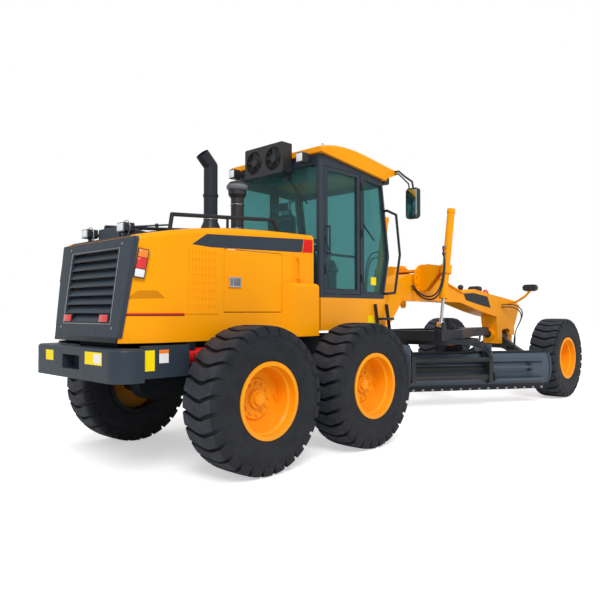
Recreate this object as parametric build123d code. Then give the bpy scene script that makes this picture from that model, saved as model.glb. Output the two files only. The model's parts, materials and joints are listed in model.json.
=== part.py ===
from build123d import *
import os
from math import cos, radians, sin, sqrt

# A motor grader, in millimetres: X forward, Y to the machine's left, Z up, wheels standing on Z = 0.
# Everything is laid out from the tandem's pivot, X = 0 here, and is moved by `middle` when it is written,
# so that the part's own origin lies on the ground under the middle of its length.

# Wheelbase and overall sizes
wheelbase = 6219
tandem_pitch = 1538
rear_overhang = 2000
track_half = 1092
running = 0.3
gap = 6

# Wheels
tyre_radius = 674
tyre_width = 442
lug_height = 34
lug_count = 28
lug_groove = 35
lug_wave = 12
tread_width = 406
bulge_radius = 500
rim_seat = 325
rim_flange = 351
rim_width = 390
flange_wall = 10
rim_wall = 12
dish_depth = 215
hub_radius = 120
hub_reach = 300
cap_radius = 62
axle_height = tyre_radius
middle = rear_overhang - (rear_overhang + wheelbase + tyre_radius) / 2

# Rear frame
rail_y = 320
rail_width = 80
rail_low = 905
rail_high = 1180
rail_rear = -1740
rail_front = 1300
housing_radius = 165
case_inner = 600
case_outer = track_half - hub_reach
case_radius = 175
case_hub_radius = 200
case_hub_inner = 520
hitch_x = 1550
hitch_eye_radius = 130
hitch_pin_radius = 45
hitch_low = 800
hitch_high = 1190
hitch_plate = 45
cab_posts = (600, 1200)
post_half = 40

# Rear bumper and counterweight
weight_front = -1750
weight_low = 877
weight_high = 1158
weight_half = 820
weight_corner = 165
weight_edge = 26
wing_front = -1290
wing_wall = 60
tow_width = 330
tow_depth = 110
tow_low = 960
tow_high = 1085
tow_pin_radius = 20

# Engine and radiator
engine_x = (-1400, -250)
engine_half = 330
engine_high = 1880
radiator_x = (-1690, -1590)
radiator_half = 450
radiator_high = 2030

# Hood
hood_low = 1200
hood_half = 750
hood_wall = 20
hood_front = 380
hood_tail_half = 600
hood_corner_x = -1450
hood_shoulder = 56
tail_corner = 40
tail_low = (-1870, 1200)
hood_top = [(-1744, 2127), (-1630, 2150), (-1160, 2230), (-500, 2285), (hood_front, 2305)]
service_x = (-857, -104)
service_z = (1465, 2060)
door_wall = 20
door_pin_radius = 5
door_pin_length = 14
latch_z = (1700, 1800)
vent_x = (-1305, -937)
vent_z = (1445, 2060)
vent_wall = 5
vent_rows = 8
vent_columns = 9
vent_slot = (12, 44)

# Grille in the tail
grille_wall = 14
grille_z = (1243, 2112)
grille_wrap = 12
slot_half = 436
slot_z = (1372, 2012)
slat_count = 8
slat_wall = 8

# Exhaust stack and air pre-cleaner
stack_x = -600
stack_y = -200
stack_radius = 72
stack_elbow = 2980
stack_mouth = 150
cleaner_x = -240
cleaner_top = 2880
pad_radius = 115
pad_wall = 14

# Cab
cab_half = 750
cab_wall = 45
cab_rear = 500
cab_low = 1625
cab_front = 1700
cab_bulge = (1820, 2150)
cab_brow = (1672, 3095)
cab_high = 3235
cab_corner = 55
bulge_bend = 160
cab_door_x = (560, 1190)
cab_door_low = 1670
cab_door_high = 3095
cab_door_wall = 40
hinge_radius = 9
pillar = 58
glass_wall = 6
glass_inset = 20
skirt_low = 1256
skirt_wall = 20
skirt_slope = 62
roof_half = 790
roof_rear = 470
roof_front = 1940
roof_edge = 40

# Gooseneck in side view: fixed at the hitch, and laid out from the front axle at the nose
beam_half = 150
neck_low = [(1900, 830), (2350, 930), (2640, 1300), (2940, 1625), (3800, 1632), (4580, 1618), (5300, 1469)]
nose = [(-479, 1398), (-319, 1379), (-234, 890), (-89, 890), (-89, 1140), (131, 1160), (233, 1120), (233, 1030),
        (421, 1030), (421, 1186), (611, 1509), (641, 1590), (381, 1679), (251, 1696), (-549, 1782)]
neck_high = [(5120, 1855), (5050, 1815), (4690, 1794), (4300, 1900), (3900, 2030), (3365, 2042), (3120, 2025),
             (2960, 1984), (2770, 1876), (2450, 1420), (2250, 1200), (1900, 1160)]
flange_reach = 22
axle_pin_height = 1000
axle_pin_radius = 45
axle_pin_rear = -234
axle_pin_front = 421
ear = (3178, 1572)
ear_wall = 36
ear_radius = 52
ear_bore = 25

# Headlamp pods
pod_y = 550
pod_z = 1905
pod_width = 250
pod_height = 118

# Lift cylinders and the saddle that holds them
saddle_half = 600
index_x = 3420
index_z = 1950
index_radius = 232
index_wall = 26
index_holes = 7
lift_eye = (3250, 1270)
lift_head = (3560, 2990)
trunnion_z = 2087
trunnion_radius = 30
collar_radius = 82
barrel_radius = 55
barrel_bore = 40
barrel_low = 1660
rod_radius = 24
rod_top = 2620
arm_plate = 28
arm_depth = 150

# Drawbar and circle
ball_x = wheelbase - 369
ball_height = 1060
ball_radius = 70
circle_x = 4000
circle_radius = 720
circle_width = 95
circle_low = 975
circle_high = 1045
tooth_count = 56
tooth_depth = 20
drawbar_high = 1190
drawbar_rear = 3150
drawbar_half = 560
member_width = 130
lug_wall = 16

# Blade, its carrier and the arms under the circle
blade_turn = 57
blade_back = 400
blade_length = 3660
blade_height = 610
blade_low = 236
blade_wall = 22
blade_bow = 100
edge_height = 70
end_wall = 20
rail_back = 75
rail_heights = (405, 710)
rail_half = 20
arm_back = blade_back + 240
arm_y = 626
arm_wall = 60
pivot_z = 480
pivot_radius = 40
ear_y = (680, 712)
shift_z = 600
shift_back = 122
shift_barrel = 40
shift_bore = 30
shift_rod = 22
shift_bracket_y = -1430

# Front axle
axle_half = 65
yoke_plate = 35
lean_y = 600
lean_z = 650
lean_pin_radius = 28
lean_boss = 55
king_y = 750
king_radius = 36
king_pin_radius = 24
knuckle_low = 560
knuckle_high = 750
knuckle_cap = 38


def prism_xz(points, y_low, y_high):
    """A solid with a side view of points (x, z) that spans a width."""
    return extrude(Plane.XZ.offset(-y_high) * Polygon(*points, align=None), y_high - y_low, dir=(0, -1, 0))


def prism_xy(points, z_low, z_high):
    """A solid with a plan of points (x, y) that spans a height."""
    return extrude(Plane.XY.offset(z_low) * Polygon(*points, align=None), z_high - z_low, dir=(0, 0, 1))


def prism_yz(points, x_low, x_high):
    """A solid with an end view of points (y, z) that spans a length."""
    return extrude(Plane.YZ.offset(x_low) * Polygon(*points, align=None), x_high - x_low, dir=(1, 0, 0))


def block(x, y, z):
    """A box between a low and a high value on each axis."""
    size = (x[1] - x[0], y[1] - y[0], z[1] - z[0])
    return Pos((x[0] + x[1]) / 2, (y[0] + y[1]) / 2, (z[0] + z[1]) / 2) * Box(*size)


def bar(start, end, radius):
    """A round bar from one point to another."""
    line = Vector(*end) - Vector(*start)
    seat = Plane(origin=start, z_dir=line.normalized())
    return seat * Cylinder(radius, line.length, align=(Align.CENTER, Align.CENTER, Align.MIN))


def rail_run(points, radius):
    """A round tube along straight runs, rounded where they meet."""
    run = Part()
    for start, end in zip(points, points[1:]):
        run += bar(start, end, radius)
    for point in points[1:-1]:
        run += Pos(*point) * Sphere(radius)
    return run


def other_side(shape):
    """The same piece on the machine's right."""
    return mirror(shape, about=Plane.XZ)


def both_sides(shape):
    return shape + other_side(shape)


def side_name(name, side):
    return name + ("_left" if side > 0 else "_right")


def on_side(shape, side):
    """A piece drawn on the left, put on its own side."""
    return shape if side > 0 else other_side(shape)


os.makedirs("parts", exist_ok=True)


def save(shape, name):
    export_step(Pos(middle, 0, 0) * shape, "parts/" + name + ".step")


# Tyre of flat facets, one to a lug, about the Y axis
def tyre_ring(radius, y):
    corner = radius / cos(radians(180 / lug_count))
    angles = [radians((i + 0.5) * 360 / lug_count) for i in range(lug_count)]
    points = [(corner * sin(a), corner * cos(a)) for a in angles]
    return Plane(origin=(0, y, 0), x_dir=(1, 0, 0), z_dir=(0, -1, 0)) * Polygon(*points, align=None)


def make_tyre():
    base = tyre_radius - lug_height
    bead = rim_seat + running
    bead_y = rim_width / 2 - gap
    shoulder = tread_width / 2
    profile = [(bulge_radius, -tyre_width / 2), (base, -shoulder), (base, shoulder), (bulge_radius, tyre_width / 2)]
    carcass = Part()
    for (r0, y0), (r1, y1) in zip(profile, profile[1:]):
        carcass += loft([tyre_ring(r0, y0), tyre_ring(r1, y1)], ruled=True)
    dish = loft([tyre_ring(bead, bead_y), tyre_ring(bulge_radius, tyre_width / 2)], ruled=True)
    carcass -= loft([tyre_ring(bead, -bead_y), tyre_ring(bead, bead_y)], ruled=True)
    carcass -= both_sides(dish)
    half = (base * 2 * sin(radians(180 / lug_count)) - lug_groove) / 2 + 8
    wave = [(-shoulder, lug_wave), (shoulder * 0.3, -lug_wave), (shoulder, lug_wave)]
    plan = [(u + half, v) for v, u in wave] + [(u - half, v) for v, u in reversed(wave)]
    lug = prism_xy(plan, base - 12, tyre_radius)
    return carcass + [Rot(0, i * 360 / lug_count, 0) * lug for i in range(lug_count)]


def make_rim():
    half = rim_width / 2
    face = half - dish_depth
    barrel = rim_seat - rim_wall
    section = [
        (0, -hub_reach + running), (hub_radius, -hub_reach + running), (hub_radius, face - 25),
        (barrel, face - 25), (barrel, -half - flange_wall), (rim_flange, -half - flange_wall), (rim_flange, -half),
        (rim_seat, -half), (rim_seat, half), (rim_flange, half), (rim_flange, half + flange_wall),
        (barrel, half + flange_wall), (barrel - 6, half - 60), (barrel - 22, half - 75), (barrel - 28, face),
        (hub_radius + 75, face), (hub_radius + 60, face + 22), (cap_radius + 30, face + 22),
        (cap_radius + 20, face + 55), (cap_radius, face + 55), (cap_radius - 8, face + 85), (0, face + 85),
    ]
    return revolve(make_face(Polyline(*section, close=True)), Axis.Y)


tyre = make_tyre()
rim = make_rim()
wheel_places = {"rear": -tandem_pitch / 2, "mid": tandem_pitch / 2, "front": wheelbase}
for place, wheel_x in wheel_places.items():
    for side in (1, -1):
        seat = Pos(wheel_x, side * track_half, axle_height)
        save(seat * on_side(tyre, side), side_name("tyre_" + place, side))
        save(seat * on_side(rim, side), side_name("rim_" + place, side))


# Tandem cases, with a round cover over each end's drive and one over the pivot
case = extrude(
    Plane.XZ.offset(-case_outer + gap) * Pos(0, axle_height) * SlotCenterToCenter(tandem_pitch, 2 * case_radius),
    case_outer - gap - case_inner,
)
for x in (-tandem_pitch / 2, tandem_pitch / 2):
    case += bar((x, case_outer - gap, axle_height), (x, case_outer, axle_height), hub_radius + 15)
case += bar((0, case_hub_inner, axle_height), (0, case_inner, axle_height), case_hub_radius)
case += bar((0, case_inner, axle_height), (0, case_outer, axle_height), case_hub_radius - 60)
for side in (1, -1):
    save(on_side(case, side), side_name("tandem_case", side))


# Rear frame with the tandem's axle housing and the articulation fork
rail = block((rail_rear, rail_front), (rail_y - rail_width / 2, rail_y + rail_width / 2), (rail_low, rail_high))
housing_end = case_hub_inner - running
housing = bar((0, -housing_end, axle_height), (0, housing_end, axle_height), housing_radius)
saddles = block((-200, 200), (rail_y - 90, rail_y + 90), (axle_height, rail_low))
cross = block((rail_rear, rail_rear + 150), (-rail_y, rail_y), (rail_low, rail_high))
cross += block((rail_front - 120, rail_front), (-rail_y, rail_y), (hitch_low, hitch_high))
fork_half = rail_y + rail_width / 2
fork_plan = [(rail_front - 120, -fork_half), (rail_front, -fork_half), (hitch_x, -hitch_eye_radius),
             (hitch_x, hitch_eye_radius), (rail_front, fork_half), (rail_front - 120, fork_half)]
fork = Part()
for z in (hitch_low, hitch_high - hitch_plate):
    eye = Pos(hitch_x, 0, z + hitch_plate / 2) * Cylinder(hitch_eye_radius, hitch_plate)
    fork += prism_xy(fork_plan, z, z + hitch_plate) + eye
hitch_pin = Pos(hitch_x, 0, (hitch_low + hitch_high) / 2) * Cylinder(hitch_pin_radius, hitch_high - hitch_low)
outrigger_x = (-1280, -60, 240)
outriggers = Part()
for x in outrigger_x:
    outriggers += block((x, x + 90), (rail_y + rail_width / 2, hood_half), (hood_low - 70, hood_low))
posts = Part()
for x in cab_posts:
    posts += block((x - post_half, x + post_half), (rail_y - post_half, rail_y + post_half), (rail_high, cab_low - 40))
rear_frame = both_sides(rail + outriggers + posts + saddles) + housing + cross + fork + hitch_pin
save(rear_frame, "rear_frame")


# Counterweight bumper with its towing recess, and the wings beside it
bumper_plan = Pos((weight_front - rear_overhang) / 2, 0) * Rectangle(rear_overhang + weight_front, 2 * weight_half)
bumper_plan = fillet(bumper_plan.vertices().group_by(Axis.X)[0], weight_corner)
weight = extrude(Plane.XY.offset(weight_low) * bumper_plan, weight_high - weight_low)
rims_of_weight = [e for e in weight.edges() if abs(e.center().Z - weight_high) < 1 and e.center().X < weight_front - 1]
weight = fillet(rims_of_weight, weight_edge)
weight -= block((-rear_overhang - 1, -rear_overhang + tow_depth), (-tow_width / 2, tow_width / 2), (tow_low, tow_high))
weight -= Pos(-rear_overhang + tow_depth / 2, 0, (weight_low + weight_high) / 2) * Cylinder(tow_pin_radius, 400)
wing_y = weight_half - 20
wing = block((weight_front, wing_front), (wing_y - wing_wall, wing_y), (rail_low, weight_high + 20))
wing_seat = block((weight_front, wing_front - 200), (fork_half, wing_y), (rail_low, rail_low + 60))
save(weight + both_sides(wing + wing_seat), "counterweight")


# Engine, one plain block on the rails, and the radiator behind the grille
save(block(engine_x, (-engine_half, engine_half), (rail_high, engine_high)), "engine")
save(block(radiator_x, (-radiator_half, radiator_half), (rail_high, radiator_high)), "radiator")


# Hood, a shell between the same form drawn twice, the inner one smaller by the wall
def tail_x(z):
    """Where the sloping tail of the hood is at a height."""
    (x0, z0), (x1, z1) = tail_low, hood_top[0]
    return x0 + (z - z0) * (x1 - x0) / (z1 - z0)


def flank_y(x):
    """Half width of the hood at a station, curving in towards the tail."""
    reach = hood_corner_x - tail_low[0]
    bend = (reach ** 2 + (hood_half - hood_tail_half) ** 2) / (2 * (hood_half - hood_tail_half))
    return hood_half - bend + sqrt(bend ** 2 - (hood_corner_x - x) ** 2)


def hood_form(inset):
    below = 1 if inset > 0 else 0
    points = [(x, z - inset) for x, z in hood_top]
    points[0] = (points[0][0] + inset, points[0][1])
    points[-1] = (points[-1][0] + max(inset, 0), points[-1][1])
    crown = Spline(*points)
    low = hood_low - below
    side = crown + Polyline(points[-1], (points[-1][0], low), (tail_low[0] + inset, low), points[0])
    reach = hood_half + 50
    form = extrude(Plane.XZ.offset(-reach) * make_face(side), 2 * reach, dir=(0, -1, 0))
    end = tail_low[0]
    mid = (end + hood_corner_x) / 2
    front = hood_front + hood_wall
    curve = ThreePointArc((end, flank_y(end) - inset), (mid, flank_y(mid) - inset), (hood_corner_x, hood_half - inset))
    run = Polyline((hood_corner_x, hood_half - inset), (front, hood_half - inset), (front, 0), (end - 60, 0),
                   (end - 60, flank_y(end) - inset), (end, flank_y(end) - inset))
    plan = make_face(curve + run)
    half = extrude(Plane.XY.offset(low) * plan, 1300, dir=(0, 0, 1))
    form &= both_sides(half)
    tops = [e for e in form.edges() if e.center().Z > 2050 and abs(e.center().Y) > hood_tail_half + 40]
    form = fillet(tops, hood_shoulder - inset * 0.6)
    corners = [e for e in form.edges() if e.center().X < tail_low[0] + 110 and abs(e.center().Y) > hood_tail_half - 60
               and e.length > 500]
    return fillet(corners, tail_corner - inset * 0.5)


hood_outer = hood_form(0)
hood = hood_outer - hood_form(hood_wall)
hood -= prism_yz([(-slot_half - 60, slot_z[0] - 60), (slot_half + 60, slot_z[0] - 60),
                  (slot_half + 60, slot_z[1] + 30), (-slot_half - 60, slot_z[1] + 30)], -2000, radiator_x[0])
door_middle = (service_z[0] + service_z[1]) / 2
door_height = service_z[1] - service_z[0]
hinge_x = service_x[1] - door_wall / 2
hinge_y = hood_half - door_wall / 2
for side in (1, -1):
    opening = block((service_x[0] - gap, service_x[1] + gap), (hood_half - 60, hood_half + 1),
                    (service_z[0] - gap, service_z[1] + gap))
    socket = Pos(hinge_x, hinge_y, door_middle) * Cylinder(door_pin_radius + running, door_height + 2 * door_pin_length + 4)
    hood -= on_side(opening + socket, side)
save(hood, "hood_shell")
for side in (1, -1):
    panel = block(service_x, (hood_half - door_wall, hood_half), service_z)
    panel = chamfer([e for e in panel.edges() if e.center().Y > hood_half - 1 and e.center().X < hinge_x], 4)
    panel += Pos(hinge_x, hinge_y, door_middle) * Cylinder(door_pin_radius, door_height + 2 * door_pin_length)
    latch = block((service_x[0] + 45, service_x[0] + 200), (hood_half, hood_half + 12), latch_z)
    latch -= block((service_x[0] + 100, service_x[0] + 185), (hood_half + 4, hood_half + 13), (latch_z[0] + 20, latch_z[1] - 20))
    save(on_side(panel + latch, side), side_name("service_door", side))


# Slotted vent plates on the hood's flanks
vent = block(vent_x, (hood_half, hood_half + vent_wall), vent_z)
vent = chamfer([e for e in vent.edges() if e.center().Y > hood_half + vent_wall - 1], vent_wall - 2)
column_step = (vent_x[1] - vent_x[0] - 40) / vent_columns
row_step = (vent_z[1] - vent_z[0] - 50) / vent_rows
for row in range(vent_rows):
    for column in range(vent_columns):
        x = vent_x[0] + 20 + (column + 0.5) * column_step
        z = vent_z[0] + 25 + (row + 0.5) * row_step
        vent -= block((x - vent_slot[0] / 2, x + vent_slot[0] / 2), (hood_half - 1, hood_half + vent_wall + 1),
                      (z - vent_slot[1] / 2, z + vent_slot[1] / 2))
save(both_sides(vent), "hood_vents")


# Radiator grille: a skin over the tail that wraps round its corners, with slanting louvres
wrap = [(tail_x(z) + grille_wrap, z) for z in grille_z]
region = prism_xz([(tail_low[0] - 200, grille_z[0]), wrap[0], wrap[1], (tail_low[0] - 200, grille_z[1])], -hood_half, hood_half)
surround = (hood_form(-grille_wall) - hood_outer) & region
surround -= prism_yz([(-slot_half, slot_z[0]), (slot_half, slot_z[0]), (slot_half - 10, slot_z[1]), (-slot_half + 10, slot_z[1])],
                     -2100, -1600)
pitch = (slot_z[1] - slot_z[0]) / slat_count
for i in range(slat_count):
    z = slot_z[0] + i * pitch
    x = tail_x(z) - grille_wall + 2
    slat = [(x, z + 2), (x + 3, z + 2), (x + 50, z + pitch * 0.8), (x + 50, z + pitch * 0.8 + slat_wall), (x, z + slat_wall + 2)]
    surround += prism_xz(slat, -slot_half - 5, slot_half + 5)
for y in (-slot_half, slot_half - 14):
    surround += prism_xz([(tail_x(z) + dx - grille_wall + 2, z) for z, dx in
                          ((slot_z[0], 0), (slot_z[1], 0), (slot_z[1], 46), (slot_z[0], 46))], y, y + 14)
save(surround, "grille")


# Dark top cover of the hood with the scoop between the lamps and a pad under each pipe
def top_z(x):
    """Height of the hood's top at a station."""
    column = block((x - 1, x + 1), (-1, 1), (hood_low, 2500)) & hood_outer
    return column.bounding_box().max.Z


cover = (hood_form(-pad_wall) - hood_outer) & block((-1560, hood_front - 40), (-520, 520), (2100, 2500))
scoop = prism_xz([(-1640, 2110), (-1640, 2250), (-1580, 2268), (-1300, top_z(-1300) + 12), (-1300, 2150)], -190, 190)
scoop = chamfer([e for e in scoop.edges() if abs(e.center().Y) > 189 and e.center().Z > 2215], 12)
pads = Part()
pad_top = {}
for x in (stack_x, cleaner_x):
    pad_top[x] = top_z(x) + pad_wall + 24
    pads += bar((x, stack_y, top_z(x) - 5), (x, stack_y, pad_top[x]), pad_radius)
save(cover + scoop + pads - hood_outer, "hood_cover")


# Exhaust stack with its elbow, and the air pre-cleaner with its bowl
stack = bar((stack_x, stack_y, pad_top[stack_x]), (stack_x, stack_y, stack_elbow), stack_radius)
stack += Pos(stack_x, stack_y, stack_elbow) * Sphere(stack_radius)
stack += bar((stack_x, stack_y, stack_elbow), (stack_x - 110, stack_y, stack_elbow + 110), stack_radius)
stack += Pos(stack_x, stack_y, pad_top[stack_x] + 45) * Cone(110, stack_radius, 90)
stack += bar((stack_x, stack_y, 2660), (stack_x, stack_y, 2685), stack_radius + 8)
stack -= bar((stack_x - 20, stack_y, stack_elbow + 20), (stack_x - stack_mouth, stack_y, stack_elbow + stack_mouth), stack_radius - 8)
save(stack, "exhaust")
bowl = [(0, pad_top[cleaner_x]), (85, pad_top[cleaner_x]), (70, pad_top[cleaner_x] + 25), (70, 2690), (98, 2730),
        (98, 2790), (112, 2800), (112, 2830), (85, 2866), (40, cleaner_top), (0, cleaner_top)]
cleaner = revolve(Plane.XZ * make_face(Polyline(*bowl, close=True)), Axis.Z)
save(Pos(cleaner_x, stack_y, 0) * cleaner, "pre_cleaner")


# Handrails along the hood and beside the cab's front pillar
rail_foot = [(-1369, top_z(-1369)), (-1343, 2350), (-700, 2392), (-87, 2434), (0, top_z(0))]
hood_rail = rail_run([(x, 600, z - (5 if z < 2320 else 0)) for x, z in rail_foot], 19)
hood_rail += bar((-700, 600, 2392), (-700, 600, top_z(-700) - 5), 14)
for x, z in (rail_foot[0], (-700, top_z(-700)), rail_foot[-1]):
    hood_rail += bar((x, 600, z - 10), (x, 600, z + 10), 34)
hood_rail -= hood_outer
grab_rail = rail_run([(1670, cab_half, 2720), (1670, 800, 2720), (1860, 800, 2690), (1940, 800, 2190), (1830, 800, 1705),
                      (1670, 800, 1690), (1670, cab_half, 1690)], 16)
grab_rail &= block((1500, 2100), (cab_half, 900), (1500, 3000))
save(both_sides(hood_rail + grab_rail), "handrails")


# Lamps on the hood and the tail's corners
lamps = Part()
for y in (-337, 337):
    head = fillet(block((-1700, -1600), (y - 60, y + 60), (2178, 2266)).edges().filter_by(Axis.X), 18)
    lamps += head + bar((-1650, y, 2180), (-1650, y, 2130), 20)
lamp_x = -1712
lamp_normal = Vector(flank_y(lamp_x + 30) - flank_y(lamp_x - 30), 60).normalized()
lamp_plane = Plane(origin=(lamp_x, flank_y(lamp_x) - 8, 1877), x_dir=(lamp_normal.Y, lamp_normal.X, 0),
                   z_dir=(-lamp_normal.X, lamp_normal.Y, 0))
tail_lamp = lamp_plane * Rot(0, 0, 10) * Box(90, 250, 40, align=(Align.CENTER, Align.CENTER, Align.MIN))
lamps = lamps + both_sides(tail_lamp) - hood_outer
save(lamps, "rear_lamps")
cab_lamp = fillet(block((330, 420), (530, 640), (3120, 3235)).edges().filter_by(Axis.X), 20)
save(both_sides(cab_lamp + block((415, cab_rear), (560, 610), (3160, 3200))), "cab_lamps")


# Tank boxes ahead of the tandem
tank_plan = [(-94, hood_half), (-20, 850), (360, 850), (360, hood_half)]
tank = prism_xy(tank_plan, 1210, 1770)
tank = fillet([e for e in tank.edges() if e.center().Z > 1769 and e.center().Y > hood_half + 10 and e.center().X > -50], 45)
handle = rail_run([(120, hood_half, 1815), (120, 800, 1815), (120, 800, 2030), (120, hood_half, 2030)], 13)
handle &= block((0, 300), (hood_half, 900), (1790, 2060))
save(both_sides(tank) + both_sides(handle), "side_tanks")


# Cab: its form with rounded corners, drawn at several insets for the walls and the panes
def front_x(z):
    """Where the cab's front face is at a height, before the bulge is rounded."""
    low, high = ((cab_front, cab_low), cab_bulge) if z < cab_bulge[1] else (cab_bulge, cab_brow)
    return low[0] + (z - low[1]) * (high[0] - low[0]) / (high[1] - low[1])


def cab_form(inset):
    below = 1 if inset else 0
    above = 200 if inset else 0
    side = [(cab_rear + inset, cab_low - below), (cab_front - inset, cab_low - below), (cab_bulge[0] - inset, cab_bulge[1]),
            (cab_brow[0] - inset, cab_brow[1] + above), (cab_rear + inset, cab_high + above)]
    form = prism_xz(side, -cab_half + inset, cab_half - inset)
    bulge = [e for e in form.edges() if abs(e.center().Z - cab_bulge[1]) < 1 and e.center().X > cab_bulge[0] - inset - 1]
    form = fillet(bulge, bulge_bend)
    corners = [e for e in form.edges() if abs(e.center().Y) > cab_half - inset - 1 and (
        e.center().X > 1560 or abs(e.center().X - cab_rear - inset) < 1) and e.center().Z < cab_high + above - 5
        and abs(e.center().Z - cab_low) > 20 and e.length > 20]
    return fillet(corners, max(cab_corner - inset, 6))


side_window = [(1262, 1700), (1648, 1700), (1742, 2080), (1742, 2220), (1618, 3020), (1262, 3050)]
pane_y = cab_half - pillar - 30
front_window = [(-pane_y, 1700), (pane_y, 1700), (pane_y, 3020), (-pane_y, 3020)]
rear_window = [(-cab_half + pillar, 2000), (cab_half - pillar, 2000), (cab_half - pillar, 3120), (-cab_half + pillar, 3120)]
front_cut = prism_yz(front_window, 1500, 1900)
rear_cut = prism_yz(rear_window, cab_rear - 1, cab_rear + cab_wall + 1)
side_cut = prism_xz(side_window, cab_half - 60, cab_half + 1)
door_axis = (cab_door_x[1] - 20, cab_half - 20, (cab_door_low + cab_door_high) / 2)
door_span = cab_door_high - cab_door_low
door_hole = block((cab_door_x[0] - gap, cab_door_x[1] + 16), (cab_half - 60, cab_half + 1),
                  (cab_door_low - gap, cab_door_high + gap))
door_hole += Pos(*door_axis) * Cylinder(hinge_radius + running, door_span + 64)
cab = cab_form(0) - cab_form(cab_wall) - front_cut - rear_cut - both_sides(side_cut + door_hole)
save(cab, "cab_frame")
pane_skin = cab_form(glass_inset) - cab_form(glass_inset + glass_wall)
glass = (pane_skin & front_cut) + (pane_skin & rear_cut) + both_sides(pane_skin & side_cut)
save(glass, "cab_glass")

door_window = ((cab_door_x[0] + 45, cab_door_x[1] - 55), (cab_door_low + 55, cab_door_high - 40))
for side in (1, -1):
    frame = block(cab_door_x, (cab_half - cab_door_wall, cab_half), (cab_door_low, cab_door_high))
    frame -= block(door_window[0], (cab_half - 90, cab_half + 1), door_window[1])
    frame += block(door_window[0], (cab_half - cab_door_wall, cab_half - 28), (2100, 2130))
    frame += Pos(*door_axis) * Cylinder(hinge_radius, door_span + 60)
    grip = rail_run([(600, cab_half, 2120), (600, cab_half + 45, 2120), (600, cab_half + 45, 2420), (600, cab_half, 2420)], 11)
    frame += grip & block((500, 700), (cab_half - 5, cab_half + 90), (2000, 2500))
    save(on_side(frame, side), side_name("cab_door", side))
    pane = block(door_window[0], (cab_half - 24, cab_half - 18), door_window[1])
    save(on_side(pane, side), side_name("cab_door_glass", side))

# Roof, crowned and rounded over its edges, with the air conditioner's condenser behind it
crown = Spline((roof_rear, 3300), (900, 3366), (1380, 3330), (1890, 3262))
under = Polyline((1890, 3262), (roof_front, 3235), (1900, 3205), (1680, 3120), cab_brow, (cab_rear, cab_high),
                 (roof_rear, 3240), (roof_rear, 3300))
roof = extrude(Plane.XZ.offset(-roof_half) * make_face(crown + under), 2 * roof_half, dir=(0, -1, 0))
eaves = [e for e in roof.edges() if abs(e.center().Y) > roof_half - 1 and e.length > 900 and e.center().Z > 3280]
roof = fillet(eaves, roof_edge)
save(roof, "cab_roof")
condenser = block((325, roof_rear), (-328, 328), (3062, 3412))
condenser = fillet(condenser.edges().filter_by(Axis.X), 22)
fan_radius = 135
for y in (-165, 165):
    condenser -= bar((324, y, 3237), (365, y, 3237), fan_radius)
    condenser += bar((332, y, 3237), (366, y, 3237), 42)
    for i in range(5):
        blade = Pos(348, y, 3237) * Rot(i * 72, 0, 0) * Pos(0, 0, 84) * Rot(0, 0, 35) * Box(4, 52, 96)
        condenser += blade
save(condenser, "condenser")

# Cab base: a skirt that is bevelled at the front, the floor, and the steering column with its wheel
skirt_side = [(cab_rear, skirt_low), (cab_front - 40, skirt_low), (cab_front, skirt_low + skirt_slope), (cab_front, cab_low),
              (cab_rear, cab_low)]
skirt = prism_xz(skirt_side, -cab_half, cab_half)
skirt -= block((cab_rear + skirt_wall, cab_front - skirt_wall), (-cab_half + skirt_wall, cab_half - skirt_wall),
               (skirt_low - 1, cab_low - 40))
column = bar((1350, 0, cab_low), (1164, 0, 2215), 45)
wheel_plane = Plane(origin=(1150, 0, 2262), z_dir=(-0.3, 0, 0.954))
column += wheel_plane * (Torus(190, 15) + Box(380, 36, 12) + Pos(0, 0, -25) * Cylinder(42, 60))
console = fillet(block((1290, 1470), (-160, 160), (cab_low, 2000)).edges().filter_by(Axis.Z), 30)
save(skirt + column + console, "cab_base")
cushion = fillet(block((640, 1080), (-250, 250), (2020, 2140)).edges(), 35)
back = fillet((Pos(650, 0, 2450) * Rot(0, -6, 0) * Box(110, 480, 680)).edges(), 40)
pedestal = block((750, 950), (-130, 130), (cab_low, 2030))
save(cushion + back + pedestal, "seat")


# Mirrors, and ladders with side plates and treads
mirror_arm = rail_run([(1850, roof_half, 3236), (1850, 850, 3232), (1830, 950, 3150), (1800, 1080, 3060), (1800, 1100, 2960)], 12)
mirror_arm += rail_run([(1850, roof_half, 3204), (1850, 845, 3200), (1826, 940, 3118), (1800, 1030, 3040), (1800, 1040, 2960)], 9)
glass_case = fillet(block((1765, 1812), (1010, 1190), (2600, 2975)).edges().filter_by(Axis.X), 45)
mirror_arm = mirror_arm & block((1700, 1900), (roof_half, 1200), (2900, 3300))
save(both_sides(mirror_arm + glass_case), "mirrors")
ladder_x = (1462, 1690)
ladder_top = 1560
ladder_foot = 640
ladder = Part()
for x in ladder_x:
    ladder += prism_yz([(cab_half, ladder_top), (790, ladder_top), (930, ladder_foot), (890, ladder_foot)], x - 8, x + 8)
for z in (660, 900, 1140, 1380):
    y = cab_half + (ladder_top - z) * 140 / (ladder_top - ladder_foot)
    tread = block(ladder_x, (y + 5, y + 110), (z - 15, z + 15))
    ladder += tread - block((ladder_x[0] + 30, ladder_x[1] - 30), (y + 40, y + 75), (z - 16, z + 16))
save(both_sides(ladder), "ladders")


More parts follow.
